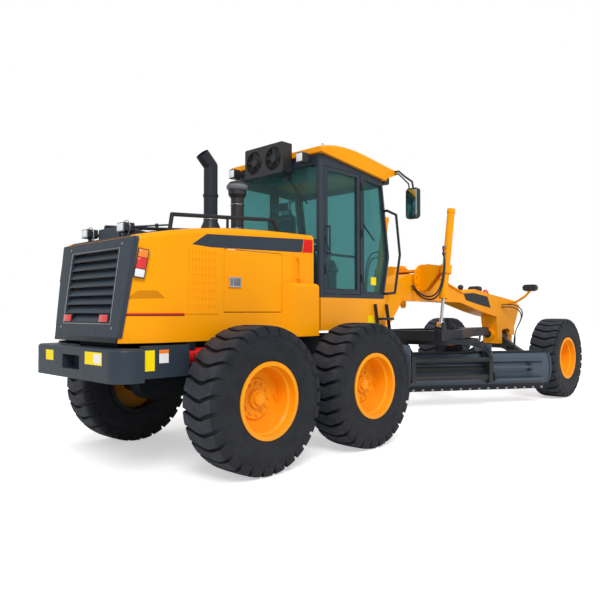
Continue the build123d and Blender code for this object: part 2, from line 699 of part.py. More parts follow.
# Front frame: the gooseneck with flanges along its top and bottom, the hitch's tongue and the axle's legs
nose_points = [(wheelbase + x, z) for x, z in nose]
beam_side = neck_low + nose_points + neck_high
beam = prism_xz(beam_side, -beam_half, beam_half)
for low, high in zip(neck_low[3:] + nose_points[:2], neck_low[4:] + nose_points[:2]):
    if low != high:
        web = [low, high, (high[0], high[1] + flange_reach), (low[0], low[1] + flange_reach)]
        beam += prism_xz(web, -beam_half - flange_reach, beam_half + flange_reach)
for low, high in zip(neck_high[3:6], neck_high[2:5]):
    web = [low, high, (high[0], high[1] - flange_reach), (low[0], low[1] - flange_reach)]
    beam += prism_xz(web, -beam_half - flange_reach, beam_half + flange_reach)
tongue_low = hitch_low + hitch_plate + running
tongue_high = hitch_high - hitch_plate - running
tongue = prism_xy([(hitch_x, -hitch_eye_radius + 20), (2400, -beam_half), (2400, beam_half), (hitch_x, hitch_eye_radius - 20)],
                  tongue_low, tongue_high)
tongue += Pos(hitch_x, 0, (tongue_low + tongue_high) / 2) * Cylinder(hitch_eye_radius - 20, tongue_high - tongue_low)
front_frame = beam + tongue
front_frame -= Pos(hitch_x, 0, (hitch_low + hitch_high) / 2) * Cylinder(hitch_pin_radius + running, 600)
pin_ends = (wheelbase + axle_pin_rear, wheelbase + axle_pin_front)
front_frame += bar((pin_ends[0], 0, axle_pin_height), (pin_ends[1], 0, axle_pin_height), axle_pin_radius)
front_frame += block((pin_ends[1] - 188, pin_ends[1]), (-100, 100), (890, 1100))
front_frame += bar((ball_x + 18, 0, ball_height), (pin_ends[0] - 10, 0, ball_height), 95) - (
    Pos(ball_x, 0, ball_height) * Rot(0, 90, 0) * Sphere(ball_radius + running))
front_frame += bar((ear[0], -ear_wall / 2, ear[1]), (ear[0], ear_wall / 2, ear[1]), ear_radius)
front_frame += block((ear[0] - ear_radius, ear[0] + ear_radius), (-ear_wall / 2, ear_wall / 2), (ear[1], ear[1] + 80))
front_frame -= bar((ear[0], -ear_wall / 2, ear[1]), (ear[0], ear_wall / 2, ear[1]), ear_bore)
for y in (-beam_half - 45, beam_half):
    disc = bar((index_x, y, index_z), (index_x, y + 45, index_z), 95)
    front_frame += disc
lamp_stalk = rail_run([(wheelbase + 200, beam_half - 20, 1640), (wheelbase + 200, 290, 1650), (wheelbase + 205, 470, 1760),
                       (wheelbase + 205, 545, 1846)], 22)
lamp_stalk -= block((wheelbase, wheelbase + 400), (400, 700), (pod_z - pod_height / 2 - running, 2000))
front_frame += both_sides(lamp_stalk)
save(front_frame, "front_frame")


# Lift cylinders' line, and the saddle: index plates beside the gooseneck and an arm to each cylinder
def lift_line(z):
    (x0, z0), (x1, z1) = lift_eye, lift_head
    return (x0 + (z - z0) * (x1 - x0) / (z1 - z0), saddle_half, z)


trunnion_x = lift_line(trunnion_z)[0]
arm_end = saddle_half - collar_radius - gap
plate_y = beam_half + flange_reach + 3
index = bar((index_x, plate_y, index_z), (index_x, plate_y + index_wall, index_z), index_radius)
index -= bar((index_x, plate_y - 1, index_z), (index_x, plate_y + index_wall + 1, index_z), 95 + running)
for i in range(index_holes):
    angle = radians(40 + i * 200 / (index_holes - 1))
    x = index_x + 180 * cos(angle)
    z = index_z + 180 * sin(angle)
    index -= bar((x, plate_y - 1, z), (x, plate_y + index_wall + 1, z), 17)
arm_root = plate_y + index_wall - 2
arm_profile = [(arm_root, 1770), (arm_root, 2150), (330, 2178), (arm_end, 2150), (arm_end, 2030), (430, 1930), (300, 1790)]
arm_front = trunnion_x + arm_depth / 2
arm = Part()
for x in (arm_front - arm_depth, arm_front - arm_plate):
    arm += prism_yz(arm_profile, x, x + arm_plate)
arm += prism_yz([(arm_root, 1850), (arm_root, 2090), (arm_end - 90, 2120), (arm_end - 90, 2060)],
                arm_front - arm_depth, arm_front)
arm += bar((trunnion_x, arm_end - 110, trunnion_z), (trunnion_x, arm_end, trunnion_z), 62)
arm -= bar((trunnion_x, arm_end - 150, trunnion_z), (trunnion_x, arm_end + 10, trunnion_z), trunnion_radius + running)
bridge = block((index_x - 150, index_x + 150), (-plate_y - index_wall, plate_y + index_wall), (2068, 2100))
saddle = both_sides(index + arm) + bridge
save(saddle, "saddle")

for side in (1, -1):
    barrel = bar(lift_line(barrel_low), lift_line(lift_head[1]), barrel_radius)
    barrel += bar(lift_line(barrel_low), lift_line(barrel_low + 50), barrel_radius + 10)
    barrel += bar(lift_line(lift_head[1] - 60), lift_line(lift_head[1]), barrel_radius + 6)
    barrel += bar(lift_line(trunnion_z - 60), lift_line(trunnion_z + 60), collar_radius)
    barrel += bar((trunnion_x, saddle_half, trunnion_z), (trunnion_x, arm_end - 100, trunnion_z), trunnion_radius)
    barrel -= bar(lift_line(barrel_low + 50), lift_line(lift_head[1] - 25), barrel_bore)
    barrel -= bar(lift_line(barrel_low - 20), lift_line(barrel_low + 60), rod_radius + running)
    save(on_side(barrel, side), side_name("lift_barrel", side))
    rod = bar(lift_line(lift_eye[1]), lift_line(rod_top), rod_radius)
    rod += bar(lift_line(rod_top - 30), lift_line(rod_top), barrel_bore - running)
    rod += bar((lift_eye[0], saddle_half - 40, lift_eye[1]), (lift_eye[0], saddle_half + 40, lift_eye[1]), 55)
    save(on_side(rod, side), side_name("lift_rod", side))


# Drawbar: two box members that run together at the ball, cross members, the circle's drive and the lift lugs
drawbar_low = circle_high + running
member = [(drawbar_rear, drawbar_half), (3950, drawbar_half), (5000, 170), (ball_x - 45, 50), (ball_x - 45, -50),
          (5000, -170), (3950, -drawbar_half), (drawbar_rear, -drawbar_half)]
inner = drawbar_half - member_width
window = [(drawbar_rear + member_width, inner), (3900, inner), (4880, 60), (4880, -60), (3900, -inner),
          (drawbar_rear + member_width, -inner)]
drive_x = circle_x + circle_radius - 230
drawbar = prism_xy(member, drawbar_low, drawbar_high) - prism_xy(window, drawbar_low - 1, drawbar_high + 1)
drawbar += block((4180, drive_x + 150), (-inner - 60, inner + 60), (drawbar_low, drawbar_high - 30)) & prism_xy(
    member, drawbar_low, drawbar_high)
drawbar += Pos(ball_x, 0, ball_height) * Sphere(ball_radius)
drawbar += bar((drive_x, 0, drawbar_low), (drive_x, 0, drawbar_high + 60), 115)
drawbar += bar((drive_x, 0, drawbar_high + 60), (drive_x, 0, drawbar_high + 170), 70)
for side in (1, -1):
    for offset in (-62, 46):
        y = side * saddle_half + offset
        drawbar += prism_xz([(lift_eye[0] - 80, drawbar_low), (lift_eye[0] + 80, drawbar_low), (lift_eye[0] + 80, drawbar_high),
                             (lift_eye[0] + 40, lift_eye[1] + 45), (lift_eye[0] - 40, lift_eye[1] + 45),
                             (lift_eye[0] - 80, drawbar_high)], y, y + lug_wall)
    drawbar += block((lift_eye[0] - 80, lift_eye[0] + 80), (min(side * 500, side * 662), max(side * 500, side * 662)),
                     (drawbar_low, drawbar_high))
save(drawbar, "drawbar")


# Circle with teeth inside, and the two arms that carry the blade
blade_frame = Pos(circle_x, 0, 0) * Rot(0, 0, blade_turn)
ring_inner = circle_radius - circle_width
circle = Cylinder(circle_radius, circle_high - circle_low) - Cylinder(ring_inner, circle_high - circle_low)
notch = Pos(ring_inner, 0, 0) * Box(2 * tooth_depth, ring_inner * 3.14 / tooth_count, circle_high - circle_low)
circle -= [Rot(0, 0, i * 360 / tooth_count) * notch for i in range(tooth_count)]
circle = Pos(0, 0, (circle_low + circle_high) / 2) * circle
arm_side = [(-100, circle_low + 1), (-420, circle_low + 1), (-arm_back - 60, 800), (-arm_back - 60, 420), (-arm_back + 20, 420),
            (-arm_back + 44, 560), (-arm_back + 50, 800), (-arm_back + 150, 900), (-100, 925)]
arms = both_sides(prism_xz(arm_side, arm_y - arm_wall / 2, arm_y + arm_wall / 2))
arms += bar((-arm_back - 20, -arm_y, 740), (-arm_back - 20, arm_y, 740), 38)
arms += bar((-arm_back, -ear_y[1] - 10, pivot_z), (-arm_back, ear_y[1] + 10, pivot_z), pivot_radius)
save(blade_frame * (circle + arms), "circle")


# Blade carrier: an ear at each end of the pivot, the slides' holders and the side-shift barrel between them
board_x = -blade_back
slide_x = (board_x - rail_back, board_x + 10)
shift_x = board_x - shift_back
carrier = Part()
for y in (ear_y[0], -ear_y[1]):
    far = y + ear_y[1] - ear_y[0]
    plate = prism_xz([(-arm_back, 415), (board_x - 50, 350), (board_x - 50, 765), (board_x - 110, 765), (-arm_back, 545)], y, far)
    plate += bar((-arm_back, y, pivot_z), (-arm_back, far, pivot_z), 75)
    plate -= bar((-arm_back, y - 1, pivot_z), (-arm_back, far + 1, pivot_z), pivot_radius + running)
    carrier += plate
carrier += bar((shift_x, -ear_y[1] - 30, shift_z), (shift_x, ear_y[1], shift_z), shift_barrel)
carrier += bar((shift_x, -ear_y[1] - 30, shift_z), (shift_x, -ear_y[1], shift_z), shift_barrel + 8)
carrier -= bar((shift_x, -ear_y[1] + 20, shift_z), (shift_x, ear_y[0] - 20, shift_z), shift_bore)
carrier -= bar((shift_x, -ear_y[1] - 40, shift_z), (shift_x, -ear_y[1] + 40, shift_z), shift_rod + running)
for z in rail_heights:
    carrier -= block((slide_x[0] - running, slide_x[1]), (-800, 800), (z - rail_half - running, z + rail_half + running))
save(blade_frame * carrier, "blade_carrier")

# Moldboard, rolled to an arc, with its cutting edge, end plates, slides and the side-shift rod
half = blade_length / 2
blade_top = blade_low + blade_height
board_low = blade_low + edge_height
board_mid = (board_low + blade_top) / 2
tip_x = board_x + 60
back_arc = ThreePointArc((tip_x, board_low), (tip_x - blade_bow, board_mid), (tip_x, blade_top))
front_arc = ThreePointArc((tip_x + blade_wall, blade_top), (tip_x + blade_wall - blade_bow, board_mid),
                          (tip_x + blade_wall, board_low))
section = make_face(back_arc + Line(back_arc @ 1, front_arc @ 0) + front_arc + Line(front_arc @ 1, back_arc @ 0))
board = extrude(Plane.XZ.offset(-half) * section, blade_length)
board += prism_xz([(tip_x, board_low + 60), (tip_x, board_low), (tip_x + 28, blade_low), (tip_x + 46, blade_low),
                   (tip_x + blade_wall + 14, board_low + 60)], -half, half)
end_plate = make_face(
    ThreePointArc((tip_x - 14, board_low + 10), (tip_x - blade_bow - 20, board_mid), (tip_x - 14, blade_top + 12))
    + Polyline((tip_x - 14, blade_top + 12), (tip_x + 70, blade_top + 12), (tip_x + 40, board_mid), (tip_x + 60, blade_low + 20),
               (tip_x + 10, blade_low + 20), (tip_x - 14, board_low + 10)))
board += both_sides(extrude(Plane.XZ.offset(-half) * end_plate, end_wall))
board += block((tip_x - 34, tip_x + 4), (-half, half), (blade_top - 24, blade_top + 4))
for z in rail_heights:
    board += block(slide_x, (-half + 150, half - 150), (z - rail_half, z + rail_half))
bracket = prism_xz([(shift_x - 45, shift_z - 45), (board_x - 20, shift_z - 70), (board_x - 20, shift_z + 70),
                    (shift_x - 45, shift_z + 45)], shift_bracket_y - 15, shift_bracket_y + 15)
board += bracket + bar((shift_x, shift_bracket_y - 55, shift_z), (shift_x, -30, shift_z), shift_rod)
board += bar((shift_x, shift_bracket_y - 45, shift_z), (shift_x, shift_bracket_y + 45, shift_z), 38)
save(blade_frame * board, "moldboard")


# Front axle on its centre pin, lean yokes and knuckles
beam_rear = wheelbase - axle_half
beam_front = wheelbase + axle_half
axle_top = [(-lean_y, lean_z + lean_boss), (-340, 860), (-130, axle_pin_height + 20), (130, axle_pin_height + 20), (340, 860),
            (lean_y, lean_z + lean_boss)]
axle_under = [(lean_y, lean_z - lean_boss), (260, 740), (120, 800), (-120, 800), (-260, 740), (-lean_y, lean_z - lean_boss)]
axle = prism_yz(axle_top + axle_under, beam_rear, beam_front)
for y in (-360, 230):
    axle -= prism_yz([(y, 790), (y + 130, 790), (y + 130, 830), (y, 830)], beam_rear - 1, beam_rear + 30)
boss = (wheelbase - 88, wheelbase + 232)
axle += bar((boss[0], 0, axle_pin_height), (boss[1], 0, axle_pin_height), 110)
axle -= bar((boss[0] - 31, 0, axle_pin_height), (boss[1] + 49, 0, axle_pin_height), axle_pin_radius + running)
axle += both_sides(bar((beam_rear, lean_y, lean_z), (beam_front, lean_y, lean_z), lean_boss))
axle += both_sides(bar((beam_rear - yoke_plate, lean_y, lean_z), (beam_front + yoke_plate, lean_y, lean_z), lean_pin_radius))
save(axle, "front_axle")
yoke_inner = lean_y + lean_boss + 7
yoke_outer = king_y - king_radius - gap
for side in (1, -1):
    yoke = block((beam_rear - yoke_plate, beam_front + yoke_plate), (yoke_inner, yoke_outer), (knuckle_low, knuckle_high))
    for x_low, x_high in ((beam_rear - yoke_plate, beam_rear - running), (beam_front + running, beam_front + yoke_plate)):
        yoke += block((x_low, x_high), (lean_y, yoke_outer), (lean_z - 60, lean_z + 60))
        yoke += bar((x_low, lean_y, lean_z), (x_high, lean_y, lean_z), 60)
        yoke -= bar((x_low - 1, lean_y, lean_z), (x_high + 1, lean_y, lean_z), lean_pin_radius + running)
    for z_low, z_high in ((knuckle_low - knuckle_cap, knuckle_low - running), (knuckle_high + running, knuckle_high + knuckle_cap)):
        yoke += block((wheelbase - king_radius, wheelbase + king_radius), (yoke_inner, king_y), (z_low, z_high))
        yoke += Pos(wheelbase, king_y, (z_low + z_high) / 2) * Cylinder(king_radius, z_high - z_low)
    yoke += block((wheelbase - 60, wheelbase + 60), (yoke_inner, yoke_outer), (knuckle_low - knuckle_cap, knuckle_high + knuckle_cap))
    yoke -= Pos(wheelbase, king_y, lean_z) * Cylinder(king_pin_radius + running, 400)
    save(on_side(yoke, side), side_name("lean_yoke", side))
    knuckle_mid = (knuckle_low + knuckle_high) / 2
    knuckle = Pos(wheelbase, king_y, knuckle_mid) * Cylinder(king_radius, knuckle_high - knuckle_low)
    knuckle += Pos(wheelbase, king_y, knuckle_mid) * Cylinder(king_pin_radius, knuckle_high - knuckle_low + 70)
    knuckle += bar((wheelbase, king_y, axle_height), (wheelbase, track_half - hub_reach, axle_height), king_radius)
    save(on_side(knuckle, side), side_name("knuckle", side))


# Headlamps, an oval pod on each stalk of the nose
def pod_layer(x, depth, reach):
    outline = Plane.YZ.offset(wheelbase + x) * Pos(pod_y, pod_z) * SlotOverall(pod_width + reach, pod_height + reach)
    return extrude(outline, depth, dir=(1, 0, 0))


pod = pod_layer(165, 85, 0) + pod_layer(248, 12, 6) - pod_layer(254, 8, -16)
save(both_sides(pod), "headlamps")
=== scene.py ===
import json
from math import cos, pi, radians, sin

import bpy
from bpy.props import FloatProperty, FloatVectorProperty, PointerProperty
from bpy.types import Operator, Panel, PropertyGroup
from mathutils import Matrix, Vector


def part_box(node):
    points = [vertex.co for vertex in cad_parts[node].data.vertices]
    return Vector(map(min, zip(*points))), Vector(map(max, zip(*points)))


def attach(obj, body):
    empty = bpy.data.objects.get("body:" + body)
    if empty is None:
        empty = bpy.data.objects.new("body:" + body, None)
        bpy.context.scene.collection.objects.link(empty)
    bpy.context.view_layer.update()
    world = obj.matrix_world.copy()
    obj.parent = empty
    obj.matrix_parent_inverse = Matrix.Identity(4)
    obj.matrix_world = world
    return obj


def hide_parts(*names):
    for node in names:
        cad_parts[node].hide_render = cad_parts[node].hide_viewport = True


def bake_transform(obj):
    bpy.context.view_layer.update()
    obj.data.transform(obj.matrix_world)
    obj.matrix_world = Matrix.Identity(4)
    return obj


bl_info = {
    "name": "Motor Grader Finish",
    "version": (1, 0, 0),
    "blender": (4, 5, 0),
    "location": "3D View > Sidebar > Grader",
    "description": "Paints a motor grader's frame and adds its lamps, stripes, hoses and small fittings",
    "category": "Object",
}

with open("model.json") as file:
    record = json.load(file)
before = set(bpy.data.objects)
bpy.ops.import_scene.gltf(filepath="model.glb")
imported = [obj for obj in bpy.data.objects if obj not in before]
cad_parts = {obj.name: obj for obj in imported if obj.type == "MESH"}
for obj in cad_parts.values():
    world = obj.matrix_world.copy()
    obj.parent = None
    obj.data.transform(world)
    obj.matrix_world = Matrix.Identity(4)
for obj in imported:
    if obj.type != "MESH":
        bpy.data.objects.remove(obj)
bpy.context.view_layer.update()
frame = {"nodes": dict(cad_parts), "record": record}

# The tandem's pivot is the place that all stations along the machine are measured from
case_low, case_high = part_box("tandem_case_left")
PIVOT_X = (case_low.x + case_high.x) / 2
HOOD_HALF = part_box("hood_shell")[1].y
CAB_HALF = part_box("cab_frame")[1].y
SIDES = (("left", 1), ("right", -1))
WHEELS = [("%s_%s" % (place, side_name), side)
          for place in ("rear", "mid", "front") for side_name, side in SIDES]

# Directions in the machine's frame
AHEAD = (1, 0, 0)
RIGHT = (0, -1, 0)
UP = (0, 0, 1)
DOWN = (0, 0, -1)


def at(x, y, z):
    """A point given from the tandem's pivot, in the machine's frame."""
    return Vector((x + PIVOT_X, y, z))


def rise(height):
    return Vector((0, 0, height))


def colour_setting(name, description, colour):
    return FloatVectorProperty(name=name, description=description, subtype="COLOR", size=4, min=0, max=1,
                               default=(*colour, 1))


class GraderColours(PropertyGroup):
    """Paint and plastic colours, as linear values."""

    body: colour_setting("Body", "Orange-yellow paint of hood, cab base and frame", (1.0, 0.36, 0.0))
    dark: colour_setting("Dark parts", "Blue-grey paint of bumper, grille and pillars", (0.024, 0.036, 0.052))
    black: colour_setting("Black parts", "Black paint of drawbar, circle and axles", (0.012, 0.016, 0.022))
    rubber: colour_setting("Rubber", "Tyre rubber", (0.013, 0.015, 0.020))
    glass: colour_setting("Window tint", "Green tint of the cab's windows", (0.22, 0.46, 0.46))


class GraderStage(PropertyGroup):
    """Camera and light."""

    eye: FloatVectorProperty(
        name="Camera place", description="From the tandem's pivot", subtype="TRANSLATION", unit="LENGTH",
        size=3, default=(-4.466, -5.234, 1.467))
    yaw: FloatProperty(
        name="Camera yaw", description="From straight ahead towards the left", subtype="ANGLE",
        default=radians(44.06))
    pitch: FloatProperty(
        name="Camera pitch", description="Upwards", subtype="ANGLE", default=radians(1.11))
    lens: FloatProperty(
        name="Lens", description="Focal length in millimetres on a 36 mm sensor", default=36.36,
        min=10, max=200)
    sun: FloatProperty(name="Sun", description="Strength of the soft sun", default=1.9, min=0, max=10)
    sky: FloatProperty(name="Sky", description="Strength of the even light", default=0.68, min=0, max=5)


# Reach of the scale of the paints with bands, and their rows of (distance from zero, share of black)
BAND_REACH = 3.5
BLADE_BANDS = [(0.0, 1), (0.328, 1), (0.330, 0), (0.815, 0), (0.817, 1)]
CAB_FLOOR_BANDS = [(0.0, 0), (1.627, 0), (1.629, 1)]
# The rims' bands paint the inner side of each rim black, as painted shade
RIM_SHADE_BANDS = [(0.0, 1), (1.044, 1), (1.046, 0)]
PAINT_DUST = (0.30, 0.24, 0.18, 1)
TYRE_DUST = (0.16, 0.14, 0.12, 1)


def start_material(name):
    material = bpy.data.materials.new(name)
    material.use_nodes = True
    tree = material.node_tree
    return material, tree.nodes, tree.links, tree.nodes["Principled BSDF"]


def set_inputs(node, **values):
    """Sets a node's inputs by their names, with underscores for spaces."""
    for key, value in values.items():
        node.inputs[key.replace("_", " ")].default_value = value


def placed(nodes, links, kind):
    """A node fed with the place of each point."""
    node = nodes.new(kind)
    place = nodes.new("ShaderNodeTexCoord")
    links.new(place.outputs["Object"], node.inputs["Vector"])
    return node


def arithmetic(nodes, links, operation, *sources):
    node = nodes.new("ShaderNodeMath")
    node.operation = operation
    for source, socket in zip(sources, node.inputs):
        links.new(source, socket)
    return node.outputs["Value"]


def mixed(nodes, links, share, colour, other):
    """Mixes a fixed colour into a colour by a share."""
    mix = nodes.new("ShaderNodeMix")
    mix.data_type = "RGBA"
    mix.inputs["B"].default_value = other
    links.new(share, mix.inputs["Factor"])
    links.new(colour, mix.inputs["A"])
    return mix.outputs["Result"]


def object_noise(nodes, links, scale, detail=3.0, roughness=0.5):
    noise = placed(nodes, links, "ShaderNodeTexNoise")
    set_inputs(noise, Scale=scale, Detail=detail, Roughness=roughness)
    return noise.outputs["Fac"]


def waves(nodes, links, direction, scale):
    wave = placed(nodes, links, "ShaderNodeTexWave")
    wave.bands_direction = direction
    wave.inputs["Scale"].default_value = scale
    return wave.outputs["Fac"]


def ramp(nodes, links, source, stops):
    """A colour ramp fed by a value, with stops of (place, colour)."""
    node = nodes.new("ShaderNodeValToRGB")
    for stop in stops[2:]:
        node.color_ramp.elements.new(stop[0])
    for element, (place, colour) in zip(node.color_ramp.elements, stops):
        element.position = place
        element.color = colour
    links.new(source, node.inputs["Fac"])
    return node.outputs["Color"]


def shade(colour, factor):
    return (*[min(1.0, c * factor) for c in colour[:3]], 1)


def grey(value):
    return (value, value, value, 1)


def drifting(nodes, links, source, colour, low, high, end=0.7, start=0.3):
    """A colour that drifts with a pattern between two shades of itself."""
    return ramp(nodes, links, source, [(start, shade(colour, low)), (end, shade(colour, high))])


def add_bump(nodes, links, shader, height, strength, distance):
    bump = nodes.new("ShaderNodeBump")
    bump.inputs["Strength"].default_value = strength
    bump.inputs["Distance"].default_value = distance
    links.new(height, bump.inputs["Height"])
    links.new(bump.outputs["Normal"], shader.inputs["Normal"])


def dusted(nodes, links, colour, dust, top, share):
    """Mixes dust into a colour towards the ground, broken up by noise."""
    split = placed(nodes, links, "ShaderNodeSeparateXYZ")
    height = nodes.new("ShaderNodeMapRange")
    set_inputs(height, From_Min=top, From_Max=0.0, To_Max=share)
    links.new(split.outputs["Z"], height.inputs["Value"])
    patch = object_noise(nodes, links, 5.0, 6.0, 0.65)
    amount = arithmetic(nodes, links, "MULTIPLY", height.outputs["Result"], patch)
    return mixed(nodes, links, amount, colour, dust)


def paint(name, colour, roughness=0.36, coat=0.06, dust=0.22, gleam=0.12):
    """Sprayed paint: slight drift in colour, orange peel and dust low down."""
    material, nodes, links, shader = start_material(name)
    tone = drifting(nodes, links, object_noise(nodes, links, 1.7), colour, 0.94, 1.04)
    tone = dusted(nodes, links, tone, PAINT_DUST, 1.0, dust)
    links.new(tone, shader.inputs["Base Color"])
    scuff = object_noise(nodes, links, 23.0, 5.0)
    gloss = ramp(nodes, links, scuff, [(0.35, grey(roughness)), (0.75, grey(roughness + 0.12))])
    links.new(gloss, shader.inputs["Roughness"])
    set_inputs(shader, Coat_Weight=coat, Coat_Roughness=0.12, Specular_IOR_Level=gleam)
    add_bump(nodes, links, shader, object_noise(nodes, links, 260.0, 2.0), 0.05, 0.002)
    return material


def banded(name, colour, black, edges, gleam=0.3, axis="Z"):
    """Paint in two colours that change along an axis."""
    material = paint(name, colour, 0.4, 0.10, gleam=gleam)
    nodes, links = material.node_tree.nodes, material.node_tree.links
    base = nodes["Principled BSDF"].inputs["Base Color"]
    tone = base.links[0].from_socket
    split = placed(nodes, links, "ShaderNodeSeparateXYZ")
    reach = nodes.new("ShaderNodeMapRange")
    reach.inputs["From Max"].default_value = BAND_REACH
    links.new(arithmetic(nodes, links, "ABSOLUTE", split.outputs[axis]), reach.inputs["Value"])
    stops = [(distance / BAND_REACH, grey(dark)) for distance, dark in edges]
    share = ramp(nodes, links, reach.outputs["Result"], stops)
    links.new(mixed(nodes, links, share, tone, black), base)
    return material


def rubber(name, colour):
    """Tyre rubber: matte, dusty in the low places, with a fine grain."""
    material, nodes, links, shader = start_material(name)
    tone = drifting(nodes, links, object_noise(nodes, links, 9.0, 6.0, 0.6), colour, 0.8, 1.5, 0.75)
    tone = dusted(nodes, links, tone, TYRE_DUST, 1.4, 0.10)
    links.new(tone, shader.inputs["Base Color"])
    set_inputs(shader, Roughness=0.62, Specular_IOR_Level=0.20)
    add_bump(nodes, links, shader, object_noise(nodes, links, 180.0, 4.0), 0.25, 0.003)
    return material


def plastic(name, colour, roughness=0.5, grain_scale=420.0):
    material, nodes, links, shader = start_material(name)
    tone = drifting(nodes, links, object_noise(nodes, links, 14.0), colour, 0.88, 1.12)
    links.new(tone, shader.inputs["Base Color"])
    shader.inputs["Roughness"].default_value = roughness
    add_bump(nodes, links, shader, object_noise(nodes, links, grain_scale, 2.0), 0.15, 0.001)
    return material


def metal(name, colour, roughness, drift_scale=40.0):
    material, nodes, links, shader = start_material(name)
    shader.inputs["Metallic"].default_value = 1.0
    drift = object_noise(nodes, links, drift_scale, 4.0)
    links.new(drifting(nodes, links, drift, colour, 0.85, 1.05), shader.inputs["Base Color"])
    gloss = ramp(nodes, links, drift, [(0.3, grey(roughness * 0.8)), (0.7, grey(roughness * 1.4))])
    links.new(gloss, shader.inputs["Roughness"])
    return material


def window_glass(name, tint):
    material, nodes, links, shader = start_material(name)
    set_inputs(shader, Base_Color=tint, Transmission_Weight=0.92, IOR=1.2)
    haze = ramp(nodes, links, object_noise(nodes, links, 3.0), [(0.3, grey(0.0)), (0.8, grey(0.05))])
    links.new(haze, shader.inputs["Roughness"])
    return material


def lens(name, colour):
    """Moulded lamp lens with fine ribs."""
    material, nodes, links, shader = start_material(name)
    ribs = waves(nodes, links, "Z", 55.0)
    links.new(drifting(nodes, links, ribs, colour, 0.85, 1.1, 1.0, 0.0), shader.inputs["Base Color"])
    set_inputs(shader, Roughness=0.12, Coat_Weight=0.6)
    add_bump(nodes, links, shader, ribs, 0.2, 0.002)
    return material


def woven(name, colour):
    """Seat cloth: two crossing waves with a soft sheen."""
    material, nodes, links, shader = start_material(name)
    threads = [waves(nodes, links, direction, 160.0) for direction in ("X", "Z")]
    height = arithmetic(nodes, links, "MULTIPLY", *threads)
    links.new(drifting(nodes, links, height, colour, 0.7, 1.2, 0.9, 0.1), shader.inputs["Base Color"])
    set_inputs(shader, Roughness=0.9, Sheen_Weight=0.3)
    add_bump(nodes, links, shader, height, 0.4, 0.002)
    return material


# Every material by its name, filled by make_materials
MATERIALS = {}


def make_materials(colours):
    body = tuple(colours.body)
    dark = tuple(colours.dark)
    black = tuple(colours.black)
    MATERIALS.update({
        "body_paint": paint("body_paint", body),
        # A darker copy of the body paint, used as painted shade in the flank's recess
        "recess_shade_paint": paint("recess_shade_paint", shade(body, 0.62)),
        # Rim paint with painted shade: black on the inner side of each rim
        "rim_paint": banded("rim_paint", shade(body, 0.97), black, RIM_SHADE_BANDS, 0.15, "Y"),
        "dark_paint": paint("dark_paint", dark, 0.42, 0.1, gleam=0.3),
        "black_paint": paint("black_paint", black, 0.45, 0.1, gleam=0.3),
        "frame_paint": paint("frame_paint", shade(dark, 0.45), 0.5, 0.05),
        "blade_paint": banded("blade_paint", shade(dark, 2.2), black, BLADE_BANDS),
        "cab_base_paint": banded("cab_base_paint", body, black, CAB_FLOOR_BANDS),
        "arm_paint": paint("arm_paint", shade(dark, 3.6), 0.4, 0.15, gleam=0.3),
        "red_paint": paint("red_paint", (0.75, 0.012, 0.01, 1)),
        "yellow_plate": paint("yellow_plate", (1.0, 0.72, 0.0, 1), dust=0.1),
        "amber_plate": paint("amber_plate", (1.0, 0.22, 0.01, 1), dust=0.1),
        "white_plate": paint("white_plate", (0.82, 0.82, 0.82, 1), dust=0.1),
        "tyre_rubber": rubber("tyre_rubber", tuple(colours.rubber)),
        "tread_rubber": rubber("tread_rubber", shade(colours.rubber, 2.1)),
        "window_glass": window_glass("window_glass", tuple(colours.glass)),
        "polished_rod": metal("polished_rod", (0.82, 0.83, 0.85, 1), 0.12),
        "steel": metal("steel", (0.50, 0.50, 0.51, 1), 0.32),
        "cast_metal": metal("cast_metal", (0.10, 0.10, 0.105, 1), 0.55),
        "black_plastic": plastic("black_plastic", (0.018, 0.019, 0.022, 1)),
        "grey_plastic": plastic("grey_plastic", (0.16, 0.17, 0.19, 1)),
        "hose_rubber": plastic("hose_rubber", (0.012, 0.012, 0.014, 1), 0.45, 600.0),
        "seat_cover": woven("seat_cover", (0.010, 0.045, 0.16, 1)),
        "red_lens": lens("red_lens", (0.72, 0.012, 0.012, 1)),
        "amber_lens": lens("amber_lens", (1.0, 0.24, 0.01, 1)),
        "clear_lens": lens("clear_lens", (0.80, 0.83, 0.88, 1)),
        "mirror_glass": metal("mirror_glass", (0.35, 0.48, 0.50, 1), 0.08, 3.0),
    })


# Nodes with a finish other than their slot's own
CAD_FINISH = {
    "hood_cover": "dark_paint",
    "cab_base": "cab_base_paint",
    "cab_frame": "dark_paint",
    "moldboard": "blade_paint",
    "ladders": "black_paint",
}


# Modelling helpers


def start_clean():
    if bpy.context.object and bpy.context.object.mode != "OBJECT":
        bpy.ops.object.mode_set(mode="OBJECT")
    bpy.ops.object.select_all(action="DESELECT")


def only(piece):
    start_clean()
    piece.select_set(True)
    bpy.context.view_layer.objects.active = piece
    return piece


def rest_at_origin(piece):
    only(piece)
    bpy.ops.object.transform_apply(location=True, rotation=True, scale=True)
    return piece


def modify(piece, kind, **settings):
    """Adds a modifier with its settings and applies it."""
    only(piece)
    modifier = piece.modifiers.new(kind.lower(), kind)
    for key, value in settings.items():
        setattr(modifier, key, value)
    bpy.ops.object.modifier_apply(modifier=modifier.name)
    return piece


def rounded(piece, width, angle=35):
    """Rounds the edges sharper than an angle, or none where the width is zero."""
    if not width:
        return piece
    return modify(piece, "BEVEL", width=width, segments=2, limit_method="ANGLE", angle_limit=radians(angle))


def added(name, kind, **settings):
    """A new mesh of one of Blender's basic kinds."""
    start_clean()
    getattr(bpy.ops.mesh, "primitive_%s_add" % kind)(**settings)
    piece = bpy.context.object
    piece.name = name
    return piece


def faces_out(piece):
    """Turns the faces of a closed form outwards."""
    only(piece)
    bpy.ops.object.mode_set(mode="EDIT")
    bpy.ops.mesh.select_all(action="SELECT")
    bpy.ops.mesh.normals_make_consistent(inside=False)
    bpy.ops.object.mode_set(mode="OBJECT")
    return piece


